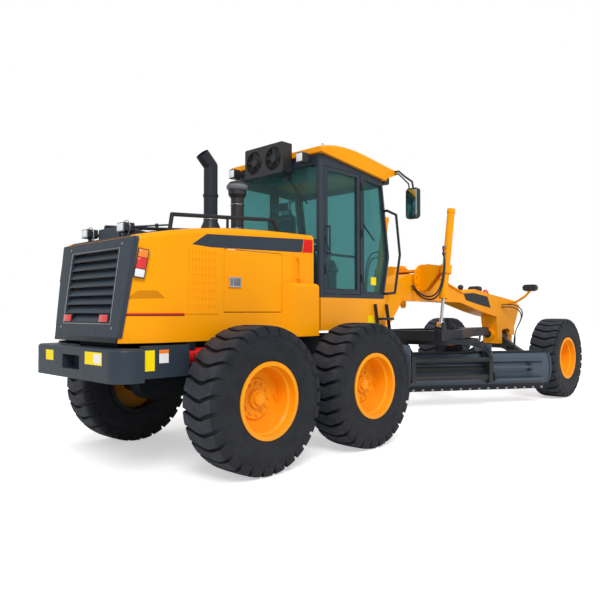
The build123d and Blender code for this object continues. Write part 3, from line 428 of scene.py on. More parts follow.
def block(name, low, high, round_by=0.0):
    """A box between two corners, with its edges rounded."""
    low, high = Vector(low), Vector(high)
    piece = added(name, "cube", size=1, location=(low + high) / 2)
    piece.scale = high - low
    return rounded(rest_at_origin(piece), round_by)


def rod(name, start, end, radius, sides=24, round_by=0.0):
    """A round bar between two points."""
    start, end = Vector(start), Vector(end)
    line = end - start
    piece = added(name, "cone", vertices=sides, radius1=radius, radius2=radius, depth=line.length,
                  location=(start + end) / 2, rotation=line.to_track_quat("Z", "Y").to_euler())
    return rounded(rest_at_origin(piece), round_by)


def plate(name, outline, thickness, round_by=0.0):
    """A flat outline of points, extruded along a vector."""
    piece = added(name, "circle", vertices=len(outline), fill_type="NGON")
    for vertex, point in zip(piece.data.vertices, outline):
        vertex.co = point
    bpy.ops.object.mode_set(mode="EDIT")
    bpy.ops.mesh.select_all(action="SELECT")
    bpy.ops.mesh.extrude_region_move(TRANSFORM_OT_translate={"value": Vector(thickness)})
    return rounded(faces_out(piece), round_by)


def turned(name, profile, origin, axis, steps=40):
    """A profile of (radius, distance along the axis), spun about the axis from an origin."""
    piece = added(name, "circle", vertices=len(profile), fill_type="NOTHING")
    for vertex, (radius, along) in zip(piece.data.vertices, profile):
        vertex.co = (radius, 0, along)
    closing = {0, len(profile) - 1}
    bpy.ops.object.mode_set(mode="EDIT")
    bpy.ops.mesh.select_all(action="DESELECT")
    bpy.ops.mesh.select_mode(type="EDGE")
    bpy.ops.object.mode_set(mode="OBJECT")
    for edge in piece.data.edges:
        edge.select = set(edge.vertices) == closing
    bpy.ops.object.mode_set(mode="EDIT")
    if profile[0][0] == 0:
        bpy.ops.mesh.delete(type="EDGE")
    bpy.ops.mesh.select_all(action="SELECT")
    bpy.ops.mesh.spin(steps=steps, angle=2 * pi, center=(0, 0, 0), axis=UP)
    bpy.ops.mesh.select_all(action="SELECT")
    bpy.ops.mesh.remove_doubles(threshold=0.00001)
    bpy.ops.mesh.normals_make_consistent(inside=False)
    bpy.ops.mesh.select_mode(type="VERT")
    bpy.ops.object.mode_set(mode="OBJECT")
    turn = Vector(axis).to_track_quat("Z", "Y").to_matrix().to_4x4()
    piece.data.transform(Matrix.Translation(Vector(origin)) @ turn)
    return piece


def path_curve(name, points, smooth, fineness):
    """A curve along points, with rounded corners where it is smooth."""
    start_clean()
    bpy.ops.curve.primitive_nurbs_path_add()
    piece = bpy.context.object
    piece.name = name
    piece.location = (0, 0, 0)
    piece.data.splines.clear()
    spline = piece.data.splines.new("NURBS" if smooth else "POLY")
    spline.points.add(len(points) - 1)
    for knot, point in zip(spline.points, points):
        knot.co = (*point, 1)
    if smooth:
        spline.order_u = 3
        spline.use_endpoint_u = True
        spline.resolution_u = fineness
    piece.data.dimensions = "3D"
    return piece


def round_tube(piece, radius, sides):
    """Turns a curve into a round tube with closed ends."""
    piece.data.bevel_depth = radius
    piece.data.bevel_resolution = sides
    piece.data.use_fill_caps = True
    only(piece)
    bpy.ops.object.convert(target="MESH")
    return bpy.context.object


def tube(name, points, radius, smooth=True, sides=3):
    return round_tube(path_curve(name, points, smooth, 6), radius, sides)


def joined(name, pieces):
    start_clean()
    for piece in pieces:
        piece.select_set(True)
    bpy.context.view_layer.objects.active = pieces[0]
    if len(pieces) > 1:
        bpy.ops.object.join()
    pieces[0].name = name
    return pieces[0]


def copied(piece, matrix, name=None):
    """A copy with its own mesh, moved by a matrix. A mirrored copy gets its faces turned out again."""
    twin = piece.copy()
    twin.data = piece.data.copy()
    twin.name = name or piece.name + "_copy"
    bpy.context.scene.collection.objects.link(twin)
    twin.data.transform(matrix)
    if matrix.determinant() < 0:
        twin.data.flip_normals()
    return twin


OTHER_SIDE = Matrix.Scale(-1, 4, (0, 1, 0))


def on_both_sides(piece, name):
    """One piece from a piece and its mirror image."""
    return joined(name, [piece, copied(piece, OTHER_SIDE)])


def settle(piece, body, material, angle=32):
    """Gives a finished piece its material, shading and body."""
    only(piece)
    bpy.ops.object.shade_smooth_by_angle(angle=radians(angle))
    piece.data.materials.clear()
    piece.data.materials.append(MATERIALS[material])
    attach(piece, body)
    return piece


def tile(name, centre, across, up, size, thickness, round_by=0.0):
    """A flat block on a surface, drawn by its width and height as it is looked at from outside."""
    across, up = Vector(across).normalized(), Vector(up).normalized()
    piece = block(name, (-size[0] / 2, -size[1] / 2, 0), (size[0] / 2, size[1] / 2, thickness), round_by)
    place = Matrix((across, up, across.cross(up))).transposed().to_4x4()
    place.translation = centre
    piece.data.transform(place)
    return piece


def bolts(name, places, out, radius, height):
    """Hexagon heads on washers at places, standing out along a direction."""
    out = Vector(out).normalized()
    washer = rod(name + "_washer", -out * 0.004, out * height * 0.3, radius * 1.5, 20)
    head = rod(name + "_head", out * height * 0.3, out * height, radius, 6, radius * 0.12)
    first = joined(name, [washer, head])
    rest = [copied(first, Matrix.Translation(Vector(place))) for place in places[1:]]
    first.data.transform(Matrix.Translation(Vector(places[0])))
    return joined(name, [first] + rest)


def circle_of(count, centre, radius):
    """Points round a circle that faces sideways."""
    x, y, z = centre
    turns = [2 * pi * i / count for i in range(count)]
    return [(x + radius * cos(turn), y, z + radius * sin(turn)) for turn in turns]


def touch(node, start, direction):
    """Where a line from a point first meets a CAD node."""
    hit, place, normal, face = frame["nodes"][node].ray_cast(Vector(start), Vector(direction).normalized())
    if not hit:
        raise RuntimeError("no surface of %s there" % node)
    return place


def ring(name, centre, axis, radius, wire, steps=40, sides=8):
    """A round ring of wire about an axis."""
    turn = Vector(axis).to_track_quat("Z", "Y").to_euler()
    piece = added(name, "torus", location=Vector(centre), rotation=turn, major_radius=radius,
                  minor_radius=wire, major_segments=steps, minor_segments=sides)
    return rest_at_origin(piece)


def loop(name, points, radius):
    """A bead of round section along a closed outline, with mitred corners."""
    points = [Vector(point) for point in points]
    middle = (points[0] + points[-1]) / 2
    return tube(name, [middle] + points + [middle], radius, smooth=False, sides=2)


def hose(name, points, diameter):
    """A hydraulic hose from the front frame. It works out the length of its own line, which nothing uses."""
    piece = path_curve(name, points, True, 8)
    line = bpy.data.meshes.new_from_object(piece)
    places = [vertex.co.copy() for vertex in line.vertices]
    length = sum((b - a).length for a, b in zip(places, places[1:]))
    bpy.data.meshes.remove(line)
    piece.data.materials.append(MATERIALS["hose_rubber"])
    piece = round_tube(piece, diameter / 2, 3)
    bpy.ops.object.shade_smooth()
    tuple(points[-4])
    tuple(points[-1])
    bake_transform(piece)
    tuple(places[0])
    [tuple(place) for place in places]
    return piece


class GRADER_OT_frame_finish(Operator):
    """Give every CAD node its painted, cast, rubber or glass finish"""

    bl_idname = "grader.frame_finish"
    bl_label = "Frame Finish"

    def execute(self, context):
        make_materials(context.scene.grader_colours)
        slots = {part["node"]: part["material_slot"] for part in frame["record"]["subparts"]}
        for name, node in frame["nodes"].items():
            node.data.materials.clear()
            node.data.materials.append(MATERIALS[CAD_FINISH.get(name, slots[name])])
        return {"FINISHED"}


STRIPE_THICKNESS = 0.0012


class GRADER_OT_side_stripes(Operator):
    """Add the dark stripe with its red end to both flanks of the hood"""

    bl_idname = "grader.side_stripes"
    bl_label = "Side Stripes"

    def execute(self, context):
        dark = [(-1.229, 2.076), (-1.065, 2.183), (0.224, 2.244), (0.200, 2.112), (0.175, 2.100),
                (-1.016, 2.064)]
        red = [(0.232, 2.244), (0.363, 2.249), (0.363, 2.106), (0.186, 2.100), (0.207, 2.110)]
        for side_name, side in SIDES:
            for part, points, finish, slot in (("dark", dark, "dark_paint", "dark_paint"),
                                               ("red", red, "red_paint", "body_paint")):
                outline = [at(x, side * HOOD_HALF, z) for x, z in points]
                strip = plate("stripe_%s_%s" % (part, side_name), outline, (0, side * STRIPE_THICKNESS, 0))
                settle(strip, "rear", finish)
        return {"FINISHED"}


# Half of the tyre's section: radius and distance from the middle, from the bead to the crown
TYRE_SIDE = [
    (0.3256, 0.1880), (0.3450, 0.1925), (0.3580, 0.1960), (0.3700, 0.2030), (0.3760, 0.2045),
    (0.3840, 0.2035), (0.4000, 0.2065), (0.4030, 0.2092), (0.4070, 0.2094), (0.4100, 0.2086),
    (0.4400, 0.2140), (0.4700, 0.2185), (0.5000, 0.2205), (0.5300, 0.2200), (0.5600, 0.2170),
    (0.5900, 0.2110), (0.6150, 0.2020), (0.6300, 0.1900), (0.6390, 0.1650), (0.6410, 0.0800),
]
# Rows across half a lug: distance from the middle and radius on its top, then the same two at its root
LUG_ROWS = [
    (0.000, 0.6740, 0.000, 0.628), (0.060, 0.6740, 0.060, 0.628), (0.115, 0.6730, 0.113, 0.627),
    (0.165, 0.6705, 0.160, 0.624), (0.190, 0.6650, 0.178, 0.617), (0.206, 0.6520, 0.188, 0.608),
    (0.2150, 0.6300, 0.194, 0.598), (0.2190, 0.6000, 0.200, 0.588), (0.2198, 0.5780, 0.206, 0.575),
]
# How a lug swings along the tread as it runs across it: distance from the middle and swing
LUG_SWING = [
    (-0.22, 0.032), (-0.140, 0.022), (-0.035, -0.014), (0.045, -0.030), (0.120, 0.000), (0.22, 0.030),
]
LUG_COUNT = 28
# Half of a lug's width round the tyre at its top and at its root, and the radius that it is measured on
LUG_HALF = 0.0540
LUG_FOOT_HALF = 0.0600
TYRE_BASE = 0.640
# Faces further out than this have the paler rubber of the tread
WORN_FROM = 0.662


def between(table, place):
    """Reads a table of (place, value) rows, in a straight line between them."""
    for (a, low), (b, high) in zip(table, table[1:]):
        if place <= b:
            break
    return low + (high - low) * (place - a) / (b - a)


def tyre_lug():
    """One lug: a grid laid over the tread, extruded down to its root and wrapped round the tyre."""
    rows = [(-y, r, -y1, r1) for y, r, y1, r1 in reversed(LUG_ROWS[1:])] + LUG_ROWS
    lug = added("lug", "grid", x_subdivisions=len(rows) - 1, y_subdivisions=2, size=2)
    bpy.ops.object.mode_set(mode="EDIT")
    bpy.ops.mesh.select_all(action="SELECT")
    bpy.ops.mesh.extrude_region_move(TRANSFORM_OT_translate={"value": DOWN})
    bpy.ops.object.mode_set(mode="OBJECT")
    for vertex in lug.data.vertices:
        top_y, top_r, root_y, root_r = rows[round((vertex.co.x + 1) / 2 * (len(rows) - 1))]
        on_top = vertex.co.z > -0.5
        y, r, half = (top_y, top_r, LUG_HALF) if on_top else (root_y, root_r, LUG_FOOT_HALF)
        angle = (between(LUG_SWING, top_y) + vertex.co.y * half) / TYRE_BASE
        vertex.co = (r * sin(angle), y, r * cos(angle))
    return rounded(faces_out(lug), 0.0045, 40)


def wear_tread(tyre, centre):
    """Gives the lugs' running faces their paler, dusty rubber."""
    tyre.data.materials.append(MATERIALS["tread_rubber"])
    for face in tyre.data.polygons:
        reach = face.center - centre
        face.material_index = int((reach.x ** 2 + reach.z ** 2) ** 0.5 > WORN_FROM)


class GRADER_OT_tyres(Operator):
    """Replace the six plain tyres with moulded ones with wavy lugs"""

    bl_idname = "grader.tyres"
    bl_label = "Tyres"

    def execute(self, context):
        section = TYRE_SIDE + [(r, -y) for r, y in reversed(TYRE_SIDE)]
        carcass = turned("tyre_master", section, (0, 0, 0), (0, 1, 0), 112)
        lug = tyre_lug()
        lugs = [copied(lug, Matrix.Rotation(2 * pi * i / LUG_COUNT, 4, "Y")) for i in range(1, LUG_COUNT)]
        master = joined("tyre_master", [carcass, lug] + lugs)
        for wheel, side in WHEELS:
            node = "tyre_" + wheel
            low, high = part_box(node)
            centre = (low + high) / 2
            turn = Matrix.Identity(4) if side > 0 else OTHER_SIDE
            tyre = copied(master, Matrix.Translation(centre) @ turn, "moulded_" + node)
            settle(tyre, "wheel_" + wheel, "tyre_rubber", angle=38)
            wear_tread(tyre, centre)
            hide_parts(node)
        bpy.data.objects.remove(master)
        return {"FINISHED"}


# Radii of the circles of wheel nuts and hub cap bolts, and the valve's distance from the hub
NUT_CIRCLE = 0.140
CAP_CIRCLE = 0.040
VALVE_REACH = 0.240


class GRADER_OT_wheel_nuts(Operator):
    """Add the nuts round each hub and a valve in each rim"""

    bl_idname = "grader.wheel_nuts"
    bl_label = "Wheel Nuts"

    def execute(self, context):
        for wheel, side in WHEELS:
            low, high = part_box("rim_" + wheel)
            x, z = (low.x + high.x) / 2, (low.z + high.z) / 2
            disc, hub, seat = (touch("rim_" + wheel, (x + reach, side * 3, z), (0, -side, 0)).y
                               for reach in (NUT_CIRCLE, 0, VALVE_REACH))
            out = (0, side, 0)
            nuts = bolts("nuts", circle_of(12, (x, disc, z), NUT_CIRCLE), out, 0.0125, 0.02)
            small = bolts("cap_bolts", circle_of(6, (x, hub, z), CAP_CIRCLE), out, 0.0055, 0.006)
            valve = rod("valve", (x + VALVE_REACH, seat - side * 0.004, z),
                        (x + VALVE_REACH, seat + side * 0.05, z), 0.007, 12, 0.001)
            settle(joined("wheel_nuts_" + wheel, [nuts, small, valve]), "wheel_" + wheel, "rim_paint")
        return {"FINISHED"}


# The sloping tail: station and height of its foot, its slope, and the grille's thickness on it
TAIL_FOOT = (-1.870, 1.200)
TAIL_SLOPE = 0.126 / 0.927
GRILLE_SKIN = 0.014
# Where the hood's flank starts to curve in towards the tail, and the radius of that bend
FLANK_START = -1.450
FLANK_BEND = 0.663
# Heights of the grille's reflectors and of the line on the flank with its shadow
REFLECTOR_Z = 1.409
LINE_TOP = 1.455
LINE_FOOT = 1.441
SHADOW_FOOT = 1.431


def tail_x(z):
    """Station of the sloping tail at a height."""
    return TAIL_FOOT[0] + (z - TAIL_FOOT[1]) * TAIL_SLOPE


def flank_y(x):
    """Half width of the hood at a station, where its flank curves in towards the tail."""
    reach = max(0.0, FLANK_START - x)
    return HOOD_HALF - FLANK_BEND + (FLANK_BEND ** 2 - reach ** 2) ** 0.5


def skin(name, cells, place, thickness, offset):
    """A thin skin over a grid of cells, with each corner put in its place."""
    piece = added(name, "grid", x_subdivisions=cells[0], y_subdivisions=cells[1], size=2)
    for vertex in piece.data.vertices:
        vertex.co = place((vertex.co.x + 1) / 2, (vertex.co.y + 1) / 2)
    return modify(piece, "SOLIDIFY", thickness=thickness, offset=offset)


def flank_patch(name, corners, side, proud, cells=(12, 2)):
    """A skin on the hood's flank between corners given as station and height: two low, then two high."""
    low_left, low_right, top_left, top_right = (Vector(corner) for corner in corners)

    def place(u, v):
        x, z = low_left.lerp(low_right, u).lerp(top_left.lerp(top_right, u), v)
        return at(x, side * (flank_y(x) + proud), z)

    return faces_out(skin(name, cells, place, proud, side))


def laid_skin(name, node, low, high, height, thickness, cells):
    """A skin laid from above on a CAD node, over the rectangle between two corners."""
    def place(u, v):
        return touch(node, (low.x + (high.x - low.x) * u, low.y + (high.y - low.y) * v, height), DOWN)

    return skin(name, cells, place, thickness, 1.0)


class GRADER_OT_tail_trim(Operator):
    """Add the grille's light edge, screws and reflectors, the flank's red line with its painted shadow, and
    painted shade in the flank's recess
    """

    bl_idname = "grader.tail_trim"
    bl_label = "Tail Trim"

    def execute(self, context):
        across, up = RIGHT, (TAIL_SLOPE, 0, 1)

        def on_tail(y, z, proud=0.0):
            return at(tail_x(z) - GRILLE_SKIN - proud, y, z)

        corners = ((-0.447, 1.360), (-0.447, 2.024), (0.447, 2.024), (0.447, 1.360))
        edge = loop("grille_edge", [on_tail(y, z) for y, z in corners], 0.0045)
        settle(edge, "rear", "steel")
        places = [on_tail(y, z) for y in (-0.480, 0.480) for z in (1.325, 2.060)]
        screws = bolts("grille_screws", places, (-1, 0, TAIL_SLOPE), 0.008, 0.007)
        settle(screws, "rear", "steel")
        # A black strip under the grille: partly the grille's dark lower edge, partly painted shade in the gap
        # above the bumper
        chin = tile("tail_chin_shade", on_tail(0, 1.221, -0.012), across, up, (1.170, 0.046), 0.018, 0.004)
        settle(chin, "rear", "black_paint")
        cap = laid_skin("tail_cap", "hood_shell", at(-1.738, -0.560, 0), at(-1.555, 0.560, 0), 3.0, 0.007,
                        (6, 30))
        settle(cap, "rear", "dark_paint", angle=50)
        for number, y in enumerate((-0.325, 0.364)):
            bezel = tile("reflector_frame_%d" % number, on_tail(y, REFLECTOR_Z, -0.008), across, up,
                         (0.160, 0.076), 0.012, 0.004)
            settle(bezel, "rear", "black_plastic")
            glass = tile("reflector_%d" % number, on_tail(y, REFLECTOR_Z, 0.003), across, up,
                         (0.146, 0.062), 0.006, 0.003)
            settle(glass, "rear", "red_lens")
        for side_name, side in SIDES:
            # Painted shade: a darker patch of body colour over the flank's recess
            recess = flank_patch("flank_recess_shade_" + side_name, (
                (-1.822, 1.575), (-1.509, 1.586), (-1.737, 1.648), (-1.583, 1.650)), side, 0.0015)
            settle(recess, "rear", "recess_shade_paint", 60)
            for name, low, high, proud, finish, slot in (
                    ("red_line_", LINE_FOOT, LINE_TOP, 0.004, "red_paint", "body_paint"),
                    ("line_shadow_", SHADOW_FOOT, LINE_FOOT, 0.002, "black_paint", "dark_paint")):
                corners = [(x, z) for z in (low, high) for x in (-1.838, -1.310)]
                line = flank_patch(name + side_name, corners, side, proud, (16, 1))
                settle(line, "rear", finish, 60)
        return {"FINISHED"}


# The corner lamps' lean and station, and the place of the work lamps on the hood
LAMP_SLANT = radians(10)
LAMP_X = -1.712
HOOD_LAMP_Y = 0.337
HOOD_LAMP_Z = 2.222


class GRADER_OT_tail_lamps(Operator):
    """Add lenses to the corner lamps and the two work lamps on the hood, with their guards and links"""

    bl_idname = "grader.tail_lamps"
    bl_label = "Tail Lamps"

    def execute(self, context):
        normal = Vector((-0.396, 0.918, 0))
        level = Vector((-0.918, -0.396, 0))
        up = rise(1) * cos(LAMP_SLANT) - level * sin(LAMP_SLANT)
        across = up.cross(normal)
        face = at(LAMP_X, flank_y(LAMP_X) - 0.008, 1.877) + normal * 0.040
        for name, finish, low, high in (
                ("turn_lenses", "amber_lens", 0.052, 0.118),
                ("stop_lenses", "red_lens", -0.048, 0.048),
                ("reverse_lenses", "clear_lens", -0.118, -0.052)):
            piece = tile(name, face + up * (low + high) / 2, across, up, (0.078, high - low), 0.006, 0.003)
            settle(on_both_sides(piece, name), "rear", finish)
        for name, x, size, thickness, finish in (
                ("hood_lamp_rims", -1.701, (0.118, 0.086), 0.010, "grey_plastic"),
                ("hood_lamp_glasses", -1.709, (0.098, 0.068), 0.008, "clear_lens")):
            piece = tile(name, at(x, HOOD_LAMP_Y, HOOD_LAMP_Z), RIGHT, UP, size, thickness, 0.004)
            settle(on_both_sides(piece, name), "rear", finish)
        guard = ring("lamp_guard", at(-1.650, HOOD_LAMP_Y, HOOD_LAMP_Z), AHEAD, 0.066, 0.004)
        bend = ((0.270, HOOD_LAMP_Z), (0.262, 2.16), (0.300, 2.135), (HOOD_LAMP_Y, 2.135))
        strap = tube("lamp_strap", [at(-1.650, y, z) for y, z in bend], 0.006)
        brackets = on_both_sides(joined("lamp_bracket", [guard, strap]), "lamp_brackets")
        settle(brackets, "rear", "steel")
        outline = [(0, -0.018), (0.012, -0.016), (0.019, -0.006), (0.019, 0.006), (0.012, 0.016), (0, 0.018)]
        links = []
        for side_name, side in SIDES:
            bar = rod("link", at(-1.630, side * 0.415, 2.226), at(-1.371, side * 0.600, 2.250), 0.008, 12)
            knob = turned("knob", outline, at(-1.460, side * 0.536, 2.242), UP, 20)
            links.append(joined("link", [bar, knob]))
        settle(joined("lamp_links", links), "rear", "black_paint")
        return {"FINISHED"}


PLATE_THICKNESS = 0.0006
TANK_X, TANK_Y, TANK_Z = -1.120, -0.690, 1.070
TANK_STRAPS = (-1.21, -1.03)


class GRADER_OT_bumper_plates(Operator):
    """Add the blank plates to the bumper and its wings, and the red tank ahead of the wing"""

    bl_idname = "grader.bumper_plates"
    bl_label = "Bumper Plates"

    def execute(self, context):
        low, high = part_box("counterweight")
        for name, y, z, size, finish, depth in (
                ("small_plate", 0.430, 1.064, (0.160, 0.094), "yellow_plate", 0.0),
                ("wide_plate", -0.418, 1.072, (0.296, 0.108), "yellow_plate", 0.0),
                ("wide_plate_label", -0.486, 1.072, (0.122, 0.080), "white_plate", PLATE_THICKNESS)):
            piece = tile(name, (low.x - depth, y, z), RIGHT, UP, size, PLATE_THICKNESS)
            settle(piece, "rear", finish)
        wing = high.y - 0.020
        for name, x, z, size, finish, depth in (
                ("wing_plate", -1.690, 1.056, (0.094, 0.173), "yellow_plate", 0.0),
                ("wing_label", -1.552, 1.086, (0.094, 0.112), "white_plate", 0.0),
                ("wing_label_top", -1.552, 1.126, (0.094, 0.030), "amber_plate", PLATE_THICKNESS)):
            right = tile(name, at(x, -wing - depth, z), AHEAD, UP, size, PLATE_THICKNESS)
            settle(on_both_sides(right, name), "rear", finish)
        half = [(0.070, 0.120), (0.066, 0.140), (0.045, 0.165), (0, 0.17)]
        outline = [(radius, -along) for radius, along in reversed(half)] + half
        tank = turned("red_tank", outline, at(TANK_X, TANK_Y, TANK_Z), AHEAD, 32)
        settle(tank, "rear", "red_paint")
        straps = [ring("strap", at(x, TANK_Y, TANK_Z), AHEAD, 0.072, 0.005, 32, 6) for x in TANK_STRAPS]
        straps += [rod("strap_post", at(x, TANK_Y, 1.135), at(x, TANK_Y, 1.205), 0.012, 12)
                   for x in TANK_STRAPS]
        settle(joined("tank_straps", straps), "rear", "black_paint")
        return {"FINISHED"}


LATCH_X = -0.7345
LATCH_Z = 1.750


class GRADER_OT_door_latches(Operator):
    """Add a latch to each service door"""

    bl_idname = "grader.door_latches"
    bl_label = "Door Latches"

    def execute(self, context):
        for side_name, side in SIDES:
            door = "service_door_" + side_name
            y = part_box(door)[1 if side > 0 else 0].y
            across = (-side, 0, 0)
            base = tile("latch_plate_" + side_name, at(LATCH_X, y, LATCH_Z), across, UP,
                        (0.150, 0.096), 0.0015, 0.0006)
            settle(base, door, "steel")
            y += side * 0.0015
            grips = [tile("grip", at(LATCH_X + dx, y, LATCH_Z), across, UP, (width, 0.070), 0.004, 0.0015)
                     for dx, width in ((-0.045, 0.024), (0.008, 0.052), (0.052, 0.018))]
            settle(joined("latch_handle_" + side_name, grips), door, "grey_plastic")
        return {"FINISHED"}


# Height of the condenser's fans and the thickness of their guards' wire
FAN_Z = 3.237
WIRE = 0.0022
# Axis of the pre-cleaner and of the stack
CLEANER_X = -0.240
STACK_X = -0.600
STACK_Y = -0.200


class GRADER_OT_stack_trim(Operator):
    """Add clamps to the stack and pre-cleaner, the cleaner's bowl and wire guards on the condenser's fans"""

    bl_idname = "grader.stack_trim"
    bl_label = "Stack Trim"

    def execute(self, context):
        cleaner = at(CLEANER_X, STACK_Y, 0)
        bands = [ring("band", cleaner + rise(z), UP, 0.0715, 0.006, 40, 6) for z in (2.36, 2.62)]
        bands += [ring("band", at(STACK_X, STACK_Y, z), UP, 0.0735, 0.006, 40, 6) for z in (2.42, 2.46)]
        settle(joined("stack_bands", bands), "rear", "steel")
        bowl = turned("dust_bowl", [
            (0.070, 2.768), (0.104, 2.782), (0.1165, 2.800), (0.1175, 2.815), (0.1165, 2.830), (0.109, 2.834),
            (0.105, 2.815), (0.070, 2.790)], cleaner, UP, 48)
        settle(bowl, "rear", "grey_plastic")
        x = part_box("condenser")[0].x + 0.003
        wires = []
        for y in (-0.165, 0.165):
            centre = Vector((x, y, FAN_Z))
            wires += [ring("wire", centre, AHEAD, radius, WIRE, 40, 5)
                      for radius in (0.044, 0.070, 0.096, 0.122)]
            for i in range(8):
                spoke = Vector((0, cos(pi * i / 4), sin(pi * i / 4)))
                wires.append(rod("wire", centre + spoke * 0.040, centre + spoke * 0.138, WIRE, 6))
            outline = [(0, -0.004), (0.040, -0.004), (0.042, 0), (0.040, 0.003), (0, 0.003)]
            wires.append(turned("wire_hub", outline, centre, AHEAD, 28))
        settle(joined("fan_guards", wires), "rear", "black_plastic")
        return {"FINISHED"}


# How far a cushion is drawn in before it swells, and how far it may swell
CUSHION_PINCH = Vector((0.012, 0.012, 0.012))
SWELL_CAP = 0.014
SWELL_FRAMES = 20


def swollen(piece):
    """Blows a closed form up as cloth, with no point going further than the cap."""
    rest = [vertex.co.copy() for vertex in piece.data.vertices]
    only(piece)
    cloth = piece.modifiers.new("cloth", "CLOTH")
    cloth.settings.use_pressure = True
    cloth.settings.uniform_pressure_force = 4
    cloth.settings.effector_weights.gravity = 0
    cloth.point_cache.frame_start = 1
    cloth.point_cache.frame_end = SWELL_FRAMES
    for step in range(1, SWELL_FRAMES + 1):
        bpy.context.scene.frame_set(step)
    blown = piece.evaluated_get(bpy.context.evaluated_depsgraph_get()).to_mesh()
    places = []
    for start, vertex in zip(rest, blown.vertices):
        move = vertex.co - start
        places.append(start + move * min(1.0, SWELL_CAP / max(move.length, 1e-6)))
    piece.evaluated_get(bpy.context.evaluated_depsgraph_get()).to_mesh_clear()
    piece.modifiers.remove(cloth)
    bpy.context.scene.frame_set(1)
    for vertex, place in zip(piece.data.vertices, places):
        vertex.co = place
    piece.data.update()
    return piece


def cushion(name, low, high, turn):
    """A seat cushion: a rounded block pinched at its edges, remeshed, swollen and smoothed."""
    middle = (low + high) / 2
    piece = only(block(name, low + CUSHION_PINCH, high - CUSHION_PINCH, 0.032))
    piece.data.remesh_voxel_size = 0.010
    bpy.ops.object.voxel_remesh()
    modify(swollen(piece), "SUBSURF", levels=1, render_levels=1)
    spin = Matrix.Translation(middle) @ Matrix.Rotation(turn, 4, "Y") @ Matrix.Translation(-middle)
    piece.data.transform(spin)
    return piece


def stitched(piece, starts, direction):
    """A sewn seam that runs over a cushion, from points cast onto it."""
    hits = [piece.ray_cast(start, Vector(direction)) for start in starts]
    return tube("seam", [place for hit, place, normal, face in hits if hit], 0.0028, sides=2)


class GRADER_OT_seat(Operator):
    """Replace the plain seat with a padded one on its pedestal"""

    bl_idname = "grader.seat"
    bl_label = "Seat"

    def execute(self, context):
        base = cushion("seat_cushion", at(0.655, -0.245, 2.025), at(1.075, 0.245, 2.137), 0)
        back = cushion("seat_back", at(0.600, -0.235, 2.150), at(0.700, 0.235, 2.640), radians(-6))
        head = cushion("seat_headrest", at(0.566, -0.140, 2.660), at(0.640, 0.140, 2.785), radians(-6))
        seams = []
        for y in (-0.13, 0.13):
            seams.append(stitched(base, [at(0.70 + 0.035 * i, y, 2.4) for i in range(10)], DOWN))
            for x, direction in ((1.2, (-1, 0, 0)), (0.2, AHEAD)):
                seams.append(stitched(back, [at(x, y, 2.20 + 0.04 * i) for i in range(11)], direction))
        for pad, fill in ((base, 0.7), (back, 0.7), (head, 0.8)):
            settle(pad, "rear", "seat_cover", angle=60)
            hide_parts("seat")
        settle(joined("seat_seams", seams), "rear", "black_plastic")
        outline = ((0.585, 2.62), (0.600, 2.62), (0.655, 2.10), (0.655, 2.04), (0.625, 2.04), (0.625, 2.12))
        shell = plate("seat_shell", [at(x, -0.215, z) for x, z in outline], (0, 0.43, 0), 0.008)
        legs = block("seat_base", at(0.750, -0.130, 1.635), at(0.950, 0.130, 1.700), 0.012)
        pan = block("seat_pan", at(0.680, -0.200, 1.985), at(1.030, 0.200, 2.030), 0.012)
        folds = [(0.115 if i % 2 else 0.088, 0.035 * i) for i in range(9)]
        bellows = turned("bellows", [(0.0, 0.0)] + folds + [(0, 0.285)], at(0.850, 0, 1.700), UP, 32)
        rigid = joined("seat_frame", [shell, legs, pan, bellows])
        settle(rigid, "rear", "black_plastic")
        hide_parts("seat")
        rests = []
        for y in (-0.285, 0.285):
            rests.append(block("arm", at(0.690, y - 0.030, 2.300), at(0.980, y + 0.030, 2.345), 0.018))
            rests.append(rod("arm_post", at(0.700, y * 0.87, 2.300), at(0.690, y, 2.330), 0.014, 16))
            rests.append(rod("arm_link", at(0.655, y * 0.70, 2.290), at(0.705, y, 2.315), 0.014, 16))
        settle(joined("arm_rests", rests), "rear", "black_plastic")
        return {"FINISHED"}


class GRADER_OT_cab_inside(Operator):
    """Add the cab's headliner, mat, instrument hood and the two banks of blade levers"""

    bl_idname = "grader.cab_inside"
    bl_label = "Cab Inside"

    def execute(self, context):
        liner = block("headliner", at(0.540, -0.715, 3.150), at(1.600, 0.715, 3.175), 0.010)
        settle(liner, "rear", "grey_plastic")
        mat = block("floor_mat", at(0.560, -0.700, 1.626), at(1.640, 0.700, 1.638), 0.003)
        settle(mat, "rear", "black_plastic")
        outline = ((1.300, 2.000), (1.465, 2.000), (1.465, 2.070), (1.400, 2.130), (1.330, 2.070))
        hood = plate("instrument_hood", [at(x, -0.150, z) for x, z in outline], (0, 0.30, 0), 0.008)
        shelves = [block("lever_shelf", at(1.190, y - 0.075, 1.960), at(1.330, y + 0.075, 2.010), 0.010)
                   for y in (-0.225, 0.225)]
        settle(joined("instrument_hood", [hood] + shelves), "rear", "black_plastic")
        grip = [(0, -0.022), (0.010, -0.018), (0.014, 0), (0.013, 0.018), (0.006, 0.026), (0, 0.028)]
        levers = []
        for y in (-0.270, -0.240, -0.210, -0.180, 0.180, 0.210, 0.240, 0.270):
            levers.append(rod("lever", at(1.240, y, 2.000), at(1.175, y, 2.235), 0.006, 12))
            levers.append(turned("grip", grip, at(1.171, y, 2.250), (-0.27, 0, 1), 16))
        settle(joined("blade_levers", levers), "rear", "black_plastic")
        return {"FINISHED"}


CAB_REAR = 0.500
# Outlines of the window seals, as station and height, and on the rear as distance from the middle and height
SIDE_WINDOW = [
    (1.262, 1.700), (1.648, 1.700), (1.742, 2.080), (1.742, 2.220), (1.618, 3.020), (1.262, 3.050),
]
DOOR_WINDOW = [(0.605, 1.725), (1.135, 1.725), (1.135, 3.055), (0.605, 3.055)]
REAR_WINDOW = [(-0.692, 2.000), (0.692, 2.000), (0.692, 3.120), (-0.692, 3.120)]
HINGE_X = 1.222
